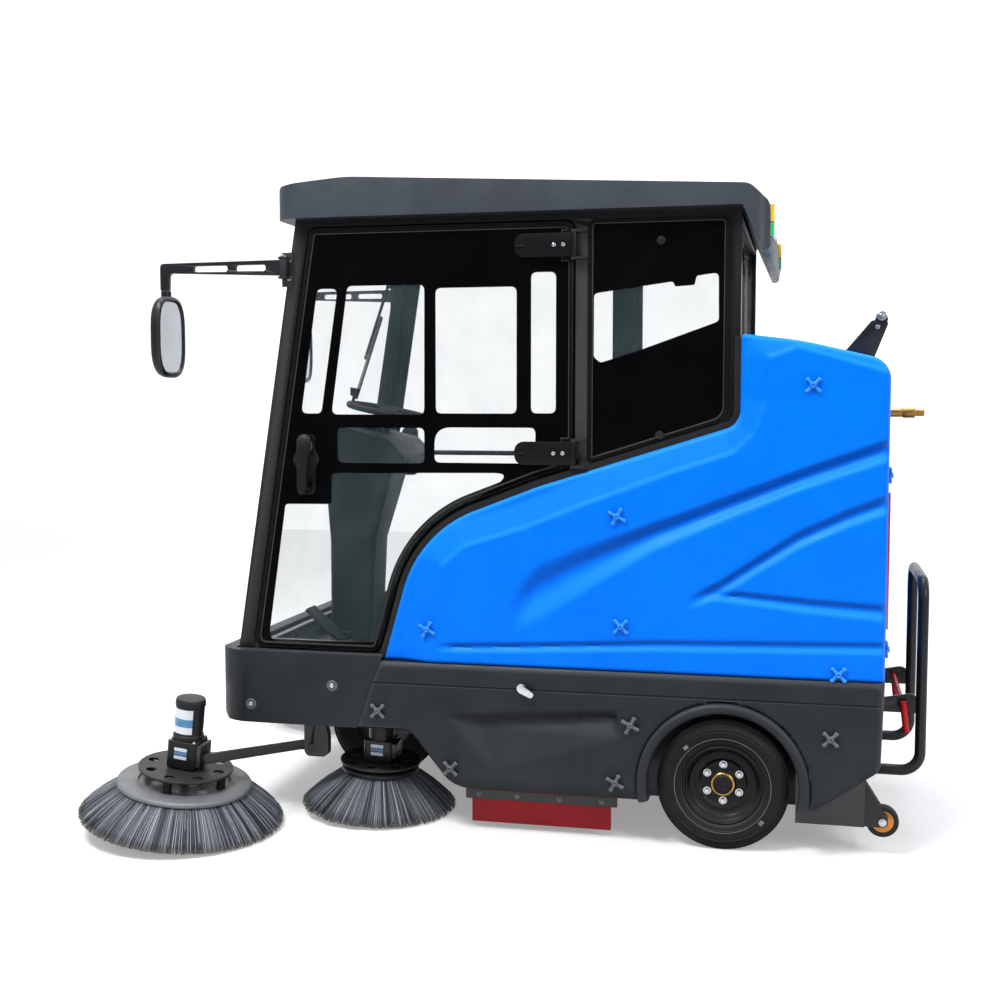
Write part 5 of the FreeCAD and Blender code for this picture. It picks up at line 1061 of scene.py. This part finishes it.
def sew(mesh, low, high, direction):
    """Two lengthwise sewn channels pressed in near the front rim, kept inside the CAD box."""
    axis, sign = direction
    for vert in mesh.vertices:
        across = vert.co.y
        near = min(abs(across - 0.085), abs(across + 0.085))
        front = (high[axis] - vert.co[axis]) if sign > 0 else (vert.co[axis] - low[axis])
        if front < 0.05 and near < 0.011:
            vert.co[axis] -= sign * 0.008 * (1 - (near / 0.011) ** 2)
        for index in range(3):
            vert.co[index] = min(max(vert.co[index], low[index]), high[index])


def seat():
    cushion("seat_cushion_pad", "seat_cushion", (16, 16, 12), 24.0, (2, 1))
    cushion("seat_back_pad", "seat_back", (12, 16, 16), 24.0, (0, -1))


# ---- wheels -----------------------------------------------------------------------------
def tyre_profile(inner, outer, half):
    """(radius, distance out) points of a tyre section with a stepped side wall and grooves."""
    points = [(inner, -half + 8), (inner + 6, -half + 3), (outer - 46, -half), (outer - 30, -half + 1),
              (outer - 12, -half + 9), (outer - 3, -half + 22)]
    for place in (-28, -9.5, 9.5, 28):
        points += [(outer, place - 4.5), (outer, place - 3.2), (outer - 6, place - 2.4), (outer - 6, place + 2.4),
                   (outer, place + 3.2), (outer, place + 4.5)]
    points += [(outer - 3, half - 22), (outer - 12, half - 9), (outer - 26, half - 1.5), (outer - 31, half - 0.4),
               (outer - 33, half - 1.6), (outer - 36, half - 0.2), (outer - 62, half), (outer - 64, half - 1.6),
               (outer - 67, half - 1.6), (inner + 6, half - 3), (inner, half - 8)]
    return points


def wheels():
    for side in SIDES:
        sign = -1 if side == "left" else 1
        body = "rear_wheel_" + side
        middle = axis_matrix(mm(0, sign * 572.5, 208), Vector((0, sign, 0)))
        bm = bmesh.new()
        lathe(bm, rounded(tyre_profile(127, 208, 52.5), 1.6, 2), middle, 160)
        close_profile(bm)
        piece("rear_tyre_" + side + "_look", to_mesh(bm, "rear_tyre_look"), body, "tyre", ("rear_tyre_" + side,))
        outer = axis_matrix(mm(0, sign * 625, 208), Vector((0, sign, 0)))
        rim = [(117, -94), (126.8, -96), (126.8, -10), (123.5, -6), (119, -6.5), (117, -12), (115, -16), (112.5, -17),
               (110.5, -20), (109, -30), (104, -36), (96, -40), (90, -41), (84, -40), (78, -41.5), (70, -47),
               (44, -48), (40, -46), (38, -40), (38, -27), (34, -25)]
        dish = rounded([(117, -94), (112, -60), (100, -54), (44, -55), (22, -55)], 2.0)
        turned("rear_rim_" + side + "_look", body, "rim_paint",
               [(rounded(rim, 1.6), outer, 120), (dish, outer, 72)], ("rear_rim_" + side,))
        bm = bmesh.new()
        for place in range(6):
            angle = pi / 6 + place * pi / 3
            add_bolt(bm, outer @ on_circle(58, angle, -48), 9.5, 15.0)
        piece("wheel_nuts_" + side, to_mesh(bm, "wheel_nuts"), body, "bright_zinc")
        ring = rounded([(31, -27), (37.6, -27), (37.6, -22), (35, -20), (31, -20), (31, -24)], 0.8)
        turned("hub_ring_" + side, body, "brass", [(ring, outer, 60)])
        cap = rounded([(31, -24), (31, -15), (27, -12.4), (16, -11.6), (14, -13), (0, -13)], 1.4)
        turned("hub_cap_" + side, body, "rim_paint", [(cap, outer, 60)])
        line = rounded([(150, -0.3), (150, 0.35), (151.4, 0.35), (151.4, -0.3)], 0.2)
        patch = rounded([(158, -0.3), (158, 0.4), (170, 0.4), (170, -0.3)], 0.2)
        marks = [(line, outer, 120)] + [(patch, outer, 12, start, 0.10) for start in (2.3, 5.5)]
        turned("tyre_marks_" + side, body, "tyre", marks, (), "ring_grey")
        castor_axis = axis_matrix(mm(490, sign * 555, 112), Vector((0, sign, 0)))
        tread = [(34, -16), (46, -16), (50, -12), (50, 12), (46, 16), (34, 16)]
        own = "castor_" + side
        turned(own + "_look", own, "castor", [(rounded(tread, 3.0), castor_axis, 72)], (own,))
        hub = [(6.2, -16), (34, -16), (34.5, 15), (31, 16.4), (28, 14), (22, 12.5), (17, 13), (15, 16.5), (6.2, 16.5)]
        turned("castor_hub_" + side, own, "castor", [(rounded(hub, 1.4), castor_axis, 72)], (), "castor_hub")
        bm = bmesh.new()
        add_bolt(bm, castor_axis @ Matrix.Translation(Vector((0, 0, 24.4 * MM))), 9.0, 8.0)
        piece("castor_bolt_" + side, to_mesh(bm, "castor_bolt"), "hopper", "bright_zinc")
    front_wheel()


def close_profile(bm):
    """Join the two open rims of a turned band."""
    edges = [edge for edge in bm.edges if edge.is_boundary]
    bmesh.ops.bridge_loops(bm, edges=edges)


def front_wheel():
    matrix = axis_matrix(mm(-1300, 0, 208), Vector((0, -1, 0)))
    bm = bmesh.new()
    lathe(bm, rounded(tyre_profile(107, 208, 50), 1.6, 2), matrix, 120)
    close_profile(bm)
    piece("front_wheel_look", to_mesh(bm, "front_wheel_look"), "front_wheel", "wheel_rubber", ("front_wheel",))
    hub = rounded([(107, 40), (104, 34), (96, 28), (50, 12), (40, 16), (38, 46), (34, 49.5), (12.2, 49.5)], 2.0)
    discs = [(hub, matrix @ Matrix.Rotation(angle, 4, "X"), 72) for angle in (pi, 0)]
    turned("front_wheel_disc", "front_wheel", "wheel_rubber", discs, (), "machine_grey")
    refine("front_fork", 2.0)


# ---- brushes ----------------------------------------------------------------------------
BRUSHES = {
    "front": {"rim": 337.0, "root": 209.0, "hole": 150.0, "bristle": 102.0, "spacer": 38.0, "disc": 153.0,
              "strands": 4200, "spread": 55.0, "ring": "ring_grey", "wide": 4.4},
    "mid": {"rim": 271.0, "root": 124.0, "hole": 90.0, "bristle": 118.0, "spacer": 12.0, "disc": 139.0,
            "strands": 3000, "spread": 55.0, "ring": "motor_black", "wide": 4.4},
}


def strands(name, size, matrix, seed):
    """Tapered strands from the clamp ring down to the floor, in one mesh."""
    rng = random.Random(seed)
    verts, faces, tone, along = [], [], [], []
    count = size["strands"] // 1
    for _ in range(count):
        deep = rng.random() ** 1.8
        angle = rng.uniform(0, 2 * pi)
        top = size["root"] - 4 - deep * (size["spread"] - 12)
        tip = size["rim"] - 2 - deep * (size["spread"] - 8) - rng.random() * 5.0
        swing = rng.gauss(0, 0.005)
        low = rng.random() ** 3 * 5.0
        wide = size["wide"] * rng.uniform(0.75, 1.1) * 1.0
        thick = wide * 0.45
        shade = min(1.0, max(0.0, rng.gauss(0.12, 0.08) if rng.random() < 0.3 else rng.gauss(0.62, 0.2)))
        first = len(verts)
        for step in range(5):
            t = step / 4
            radius = top + (tip - top) * t + 9.0 * sin(pi * t) * (1 - 0.4 * deep)
            turn = angle + swing * t * t
            height = (size["bristle"] + 2) * (1 - t) + low * t
            width = wide * (1.0 - 0.15 * t) * (0.7 + 0.3 * min(1, t * 4))
            out = (cos(turn), sin(turn))
            for shift_w, shift_r in ((-0.5, -0.3), (0.5, -0.3), (0.0, 0.7)):
                r = radius + shift_r * thick
                verts.append((matrix @ Vector(((r * out[0] - shift_w * width * out[1]) * MM,
                                               (r * out[1] + shift_w * width * out[0]) * MM, height * MM)))[:])
                tone.append(shade)
                along.append(t)
        for step in range(4):
            for corner in range(3):
                a = first + step * 3 + corner
                b = first + step * 3 + (corner + 1) % 3
                faces.append((a, b, b + 3, a + 3))
        last = first + 12
        faces.append((last, last + 1, last + 2))
    mesh = bpy.data.meshes.new(name)
    mesh.from_pydata(verts, [], faces)
    for key, values in (("tone", tone), ("along", along)):
        attribute = mesh.attributes.new(key, "FLOAT", "POINT")
        attribute.data.foreach_set("value", values)
    mesh.shade_smooth()
    return mesh


def circle(radius, cx=0.0, cy=0.0, steps=72):
    return [(cx + radius * cos(2 * pi * i / steps), cy + radius * sin(2 * pi * i / steps)) for i in range(steps)]


def drive_disc(size, matrix, bottom):
    """The perforated drive disc, turned into the brush's own frame."""
    holes = []
    for index in range(8):
        angle = 2 * pi * index / 8
        ring = size["disc"] - 36
        holes.append(circle(18.0, ring * cos(angle), ring * sin(angle), 28))
    mesh = sheet_mesh("drive_disc", circle(size["disc"]), holes, 0.0, 8.0, 1.2)
    mesh.transform(Matrix.Translation(-mm(0, 4.0, 0)))
    mesh.transform(Matrix.Rotation(radians(-90), 4, "X"))
    mesh.transform(matrix @ Matrix.Translation(Vector((0, 0, (bottom + 4.0) * MM))))
    return mesh


def on_circle(radius, angle, level):
    """The move to a point on a circle about the local Z axis."""
    return Matrix.Translation(Vector((radius * cos(angle), radius * sin(angle), level)) * MM)


def brushes():
    for number, (name, size) in enumerate(BRUSHES.items()):
        for side in SIDES:
            joint = JOINTS[name + "_brush_spin_" + side]
            matrix = axis_matrix(Vector(joint["pos_m"]), Vector(joint["axis"]))
            label = body = name + "_brush_" + side
            ring = size["bristle"]
            disc = ring + 16 + size["spacer"]
            bristles = strands(label + "_bristles", size, matrix, 11 + number)
            node = name + "_brush_head_" + side
            piece(label + "_bristles", bristles, body, "bristle", (node,))
            root, rim, spread = size["root"], size["rim"], size["spread"]
            # a solid cone inside the strands: bristle mass, given a dark finish as painted shade between the strands
            painted_shade_core = [(root - 10, ring), ((root + rim) / 2 - 6, ring * 0.5), (rim - 16, 9), (rim - spread + 12, 9),
                    ((root + rim) / 2 - spread + 16, ring * 0.5), (root - spread + 8, ring)]
            turned(label + "_core", body, "bristle", [(painted_shade_core, matrix, 72)], (), "main_bristle")
            top = ring + 16
            band = [(size["hole"], ring + 8), (size["hole"], top), (root - 34, top), (root + 2, top - 1),
                    (root + 9, top - 4), (root + 9, ring + 1), (root + 4, ring - 2), (size["hole"], ring),
                    (0.5, ring), (0.5, ring + 8), (size["hole"], ring + 8)]
            turned(label + "_ring", body, "bristle", [(rounded(band, 1.6), matrix, 120)], (), size["ring"])
            post = rounded([(17, ring + 8), (17, ring + 11), (14, ring + 13), (14, disc - 3), (16, disc)], 1.2)
            parts = [(rounded([(0.5, ring + 8), (14, ring + 8), (14, disc)], 0.5), matrix, 36)]
            parts += [(post, matrix @ on_circle(size["hole"] - 22, pi / 2 * place, 0), 28) for place in range(4)]
            turned(label + "_spacers", body, "bristle", parts, (), "motor_black")
            piece(label + "_disc", drive_disc(size, matrix, disc), body, "bristle", (), "motor_black")
            flange = rounded([(0, disc + 8), (44, disc + 8), (44, disc + 10), (20, disc + 11), (0, disc + 11)], 0.8)
            screw = rounded([(0, 0), (5, 0), (5, 2.4), (0, 2.6)], 0.5)
            parts = [(flange, matrix, 48)]
            parts += [(screw, matrix @ on_circle(34, pi / 4 + pi / 2 * place, disc + 8), 18) for place in range(4)]
            turned(label + "_flange", body, "bristle", parts, (), "machine_grey")
    for side in SIDES:
        refine("front_brush_arm_" + side, 2.0)
        refine("mid_brush_arm_" + side, 2.0)
        joint = JOINTS["mid_brush_spin_" + side]
        matrix = axis_matrix(Vector(joint["pos_m"]), Vector(joint["axis"]))
        gear_label("mid_gear", matrix, 50.0, 118.0 + 16 + 12 + 12 + 20, "mid_arm_" + side, side)
        front_motor(side)
    refine("brush_cradle", 2.0)
    refine("main_brush", 1.0)


# strips of the plain label on a front brush motor: name, lowest and highest level, finish
LABELS = (("label_pale", 76, 108, "label_white"), ("label_band", 50, 75.5, "label_blue"),
          ("label_foot", 26, 49.5, "label_white"))
LABEL_HALF_ANGLE = 0.8


def front_motor(side):
    """Gear box and motor can, with end bell, plain label strips and corner screws."""
    node = "front_brush_motor_" + side
    refine(node, 3.0, 3, lambda centre: "motor_black")
    joint = JOINTS["front_brush_spin_" + side]
    matrix = axis_matrix(Vector(joint["pos_m"]), Vector(joint["axis"]))
    gear = 102.0 + 16 + 38 + 8 + 4
    top = gear + 92
    body = "front_arm_" + side
    shell = [(48.6, top + 2), (50, top + 4), (50, top + 16), (48, top + 18), (47.4, top + 20)]
    cap = [(47.3, top + 112), (49.4, top + 114), (49.4, top + 128), (46, top + 137.8), (30, top + 138.4),
           (28, top + 137.6), (0, top + 137.6)]
    turned("motor_bands_" + side, body, "motor_black",
           [(rounded(shell, 0.8), matrix, 72), (rounded(cap, 1.4), matrix, 72)])
    near = -pi / 2 if side == "left" else pi / 2
    for name, low, high, look in LABELS:
        strip = [(47.2, top + low), (47.6, top + low + 0.4), (47.6, top + high - 0.4), (47.2, top + high)]
        sweep = (matrix, 24, near - LABEL_HALF_ANGLE - 0.15, 2 * LABEL_HALF_ANGLE)
        turned("motor_" + name + "_" + side, body, "motor_black", [(strip, *sweep)], (), look)
    screw = rounded([(0, 0), (5.4, 0), (5.4, 4), (4, 5), (2.2, 5), (2, 3), (0, 3)], 0.6)
    screws = [(screw, matrix @ on_circle(58, pi / 4 + pi / 2 * place, top), 20) for place in range(4)]
    turned("motor_screws_" + side, body, "bright_zinc", screws)
    gear_label("front_gear", matrix, 51.0, gear + 34, body, side)


def gear_label(name, matrix, half, low, body, side):
    """Three plain strips on the outer face of a gear box."""
    sign = -1 if side == "left" else 1
    for part, rise, look in (("pale", 0, "label_white"), ("band", 14, "label_blue"), ("top", 27, "label_white")):
        bm = bmesh.new()
        box_faces(bm, [matrix @ Vector((x * MM, sign * (half + y) * MM, (low + rise + z) * MM))
                       for x in (-22, 22) for y in (0.1, 0.7) for z in (0, 11)])
        bmesh.ops.recalc_face_normals(bm, faces=bm.faces)
        piece(name + "_" + part + "_" + side, to_mesh(bm, name), body, "motor_black", (), look)


# ---- mirrors ----------------------------------------------------------------------------
def mirror_heads():
    place = Vector(JOINTS["mirror_head_turn_left"]["pos_m"])
    turn = Matrix.Rotation(radians(-4.0), 4, "Z")
    matrix = Matrix.Translation(place) @ turn
    rows = ((16, 0.86), (23, 0.90), (21, 0.965), (14, 1.0), (4, 0.995), (-8, 0.96), (-16, 0.88), (-21, 0.74),
            (-23, 0.5), (-23, 0.02))
    bm = bmesh.new()
    rings = [[bm.verts.new(matrix @ Vector((x * MM, y * scale * MM, z * scale * MM)))
              for y, z in mirror_outline(87.5, 137.0)] for x, scale in rows]
    skin(bm, rings)
    bm.faces.new(rings[-1])
    bmesh.ops.recalc_face_normals(bm, faces=bm.faces)
    lathe(bm, rounded([(0, 120), (17, 120), (17, 153), (14, 156), (7.2, 156)], 1.5), matrix, 32)
    pair("mirror_shell", to_mesh(bm, "mirror_shell", 45.0), "mirror_head", "mirror_shell", "mirror_head")
    bm = bmesh.new()
    verts = [bm.verts.new(matrix @ Vector((16.2 * MM, y * 0.87 * MM, z * 0.87 * MM)))
             for y, z in mirror_outline(87.5, 137.0)]
    middle = bm.verts.new(matrix @ Vector((18.5 * MM, 0, 0)))
    for index, vert in enumerate(verts):
        bm.faces.new((middle, vert, verts[(index + 1) % len(verts)]))
    bmesh.ops.recalc_face_normals(bm, faces=bm.faces)
    pair("mirror_face", to_mesh(bm, "mirror_face"), "mirror_head", "mirror_shell", None, "mirror_glass")
    for side in SIDES:
        refine("mirror_arm_" + side, 1.8)
    bm = bmesh.new()
    add_bolt(bm, axis_matrix(mm(-1449, -622, 1890), Vector((0, 0, 1))), 9.0, 8.0)
    add_bolt(bm, side_axis(-1440, -598, 1880), 6.5, 5.0)
    add_bolt(bm, side_axis(-1440, -598, 1822), 6.5, 5.0)
    pair("mirror_bolts", to_mesh(bm, "mirror_bolts"), "chassis", "bright_zinc")


def mirror_outline(half_width, half_height, steps=64, power=3.2):
    """A rounded rectangle, as (y, z) points."""
    points = []
    for step in range(steps):
        angle = 2 * pi * step / steps
        c, s = cos(angle), sin(angle)
        y = half_width * abs(c) ** (2 / power) * (1 if c >= 0 else -1)
        z = half_height * abs(s) ** (2 / power) * (1 if s >= 0 else -1)
        points.append((y, z))
    return points


# ---- rear and small fittings ------------------------------------------------------------
def coupling_look(centre):
    along = (centre.x - AXLE_X) / MM - REAR_X
    return "seal_rubber" if along < 15 else "brass"


def lamp_look(centre):
    x = (centre.x - AXLE_X) / MM
    if x < -1000:
        return "lens"
    if centre.z > 1.5:
        return "lens_yellow" if centre.z > 1.96 else "lens_green"
    return "lens_red"


def fittings():
    refine("quick_coupling", 1.2, 2, coupling_look)
    refine("hose_bracket", 2.0, 2, lambda centre: "bright_zinc" if centre.z > 1.69 else "bracket_paint")
    refine("lamps", 2.0, 3, lamp_look)
    refine("side_latch", 3.0, 3)
    bm = bmesh.new()
    wheel = rounded([(0, -2), (15, -2), (17, 0), (17, 5), (14, 7), (9, 6), (7, 10), (0, 11)], 1.2)
    lathe(bm, wheel, side_axis(478, -131, 1700), 36)
    add_bolt(bm, side_axis(466, -131, 1664), 6.0, 5.0)
    piece("bracket_wheel", to_mesh(bm, "bracket_wheel"), "chassis", "bracket_paint", (), "bright_zinc")
    refine("hopper", 1.6)
    refine("push_handle", 1.0)
    refine("hopper_latch", 3.0, 3)
    refine("chassis_frame", 1.2, 1)
    refine("drive_units", 1.6)
    for node in ("battery_pack", "vacuum_fan", "water_tank"):
        refine(node, 5.0, 3)


# ---- studio -----------------------------------------------------------------------------
def light(name, place, aim, size, power):
    lamp = bpy.data.lights.new(name, "AREA")
    lamp.shape = "RECTANGLE"
    lamp.size, lamp.size_y = size
    lamp.energy = power
    obj = bpy.data.objects.new(name, lamp)
    obj.location = place
    obj.rotation_euler = (Vector(aim) - Vector(place)).to_track_quat("-Z", "Y").to_euler()
    scene.collection.objects.link(obj)


def pale(name, colour, glow):
    """A matt white surface of the studio with a faint glow of its own."""
    material = bpy.data.materials.new(name)
    material.use_nodes = True
    shader = material.node_tree.nodes["Principled BSDF"]
    scale_inputs(shader, **{"Base Color": colour, "Roughness": 0.8, "Specular IOR Level": 0.1,
                            "Emission Color": (1.0, 1.0, 1.0, 1.0), "Emission Strength": glow})
    return material


def stage_plane(name, size, matrix, material):
    bm = bmesh.new()
    bmesh.ops.create_grid(bm, x_segments=4, y_segments=4, size=size, matrix=matrix)
    plane = bpy.data.objects.new(name, to_mesh(bm, name))
    scene.collection.objects.link(plane)
    plane.data.materials.append(material)


def studio():
    white = (0.82, 0.82, 0.82, 1.0)
    stage_plane("studio_floor", 14.0, Matrix.Identity(4), pale("studio_floor", white, 0.30))
    upright = Matrix.Translation(Vector((0.0, 9.0, 8.0))) @ Matrix.Rotation(radians(90), 4, "X")
    stage_plane("studio_wall", 16.0, upright, pale("studio_wall", white, 0.54))
    world = bpy.data.worlds.new("studio")
    world.use_nodes = True
    background = world.node_tree.nodes["Background"]
    scale_inputs(background, Color=(0.94, 0.97, 1.0, 1.0), Strength=0.42)
    scene.world = world
    light("key_light", (-1.6, -3.4, 5.6), (0.3, -0.2, 0.9), (2.2, 1.4), 280.0)
    light("side_light", (4.2, -3.0, 3.0), (0.5, 0.0, 0.9), (1.2, 2.4), 70.0)
    light("top_light", (0.0, 0.8, 5.6), (0.0, 0.0, 0.0), (5.0, 3.0), 230.0)
    camera = bpy.data.cameras.new("camera")
    camera.lens = 48.24
    camera.sensor_width = 36.0
    camera.clip_end = 200.0
    eye = bpy.data.objects.new("camera", camera)
    eye.location = (0.97024, -4.812, 1.420)
    eye.rotation_euler = (radians(90 - 4.27), 0.0, radians(12.9))
    scene.collection.objects.link(eye)
    scene.camera = eye
    scene.view_settings.view_transform = "Standard"


studio()
blue_body()
lower_body()
knobs()
cab()
doors()
driver_place()
seat()
wheels()
brushes()
mirror_heads()
fittings()
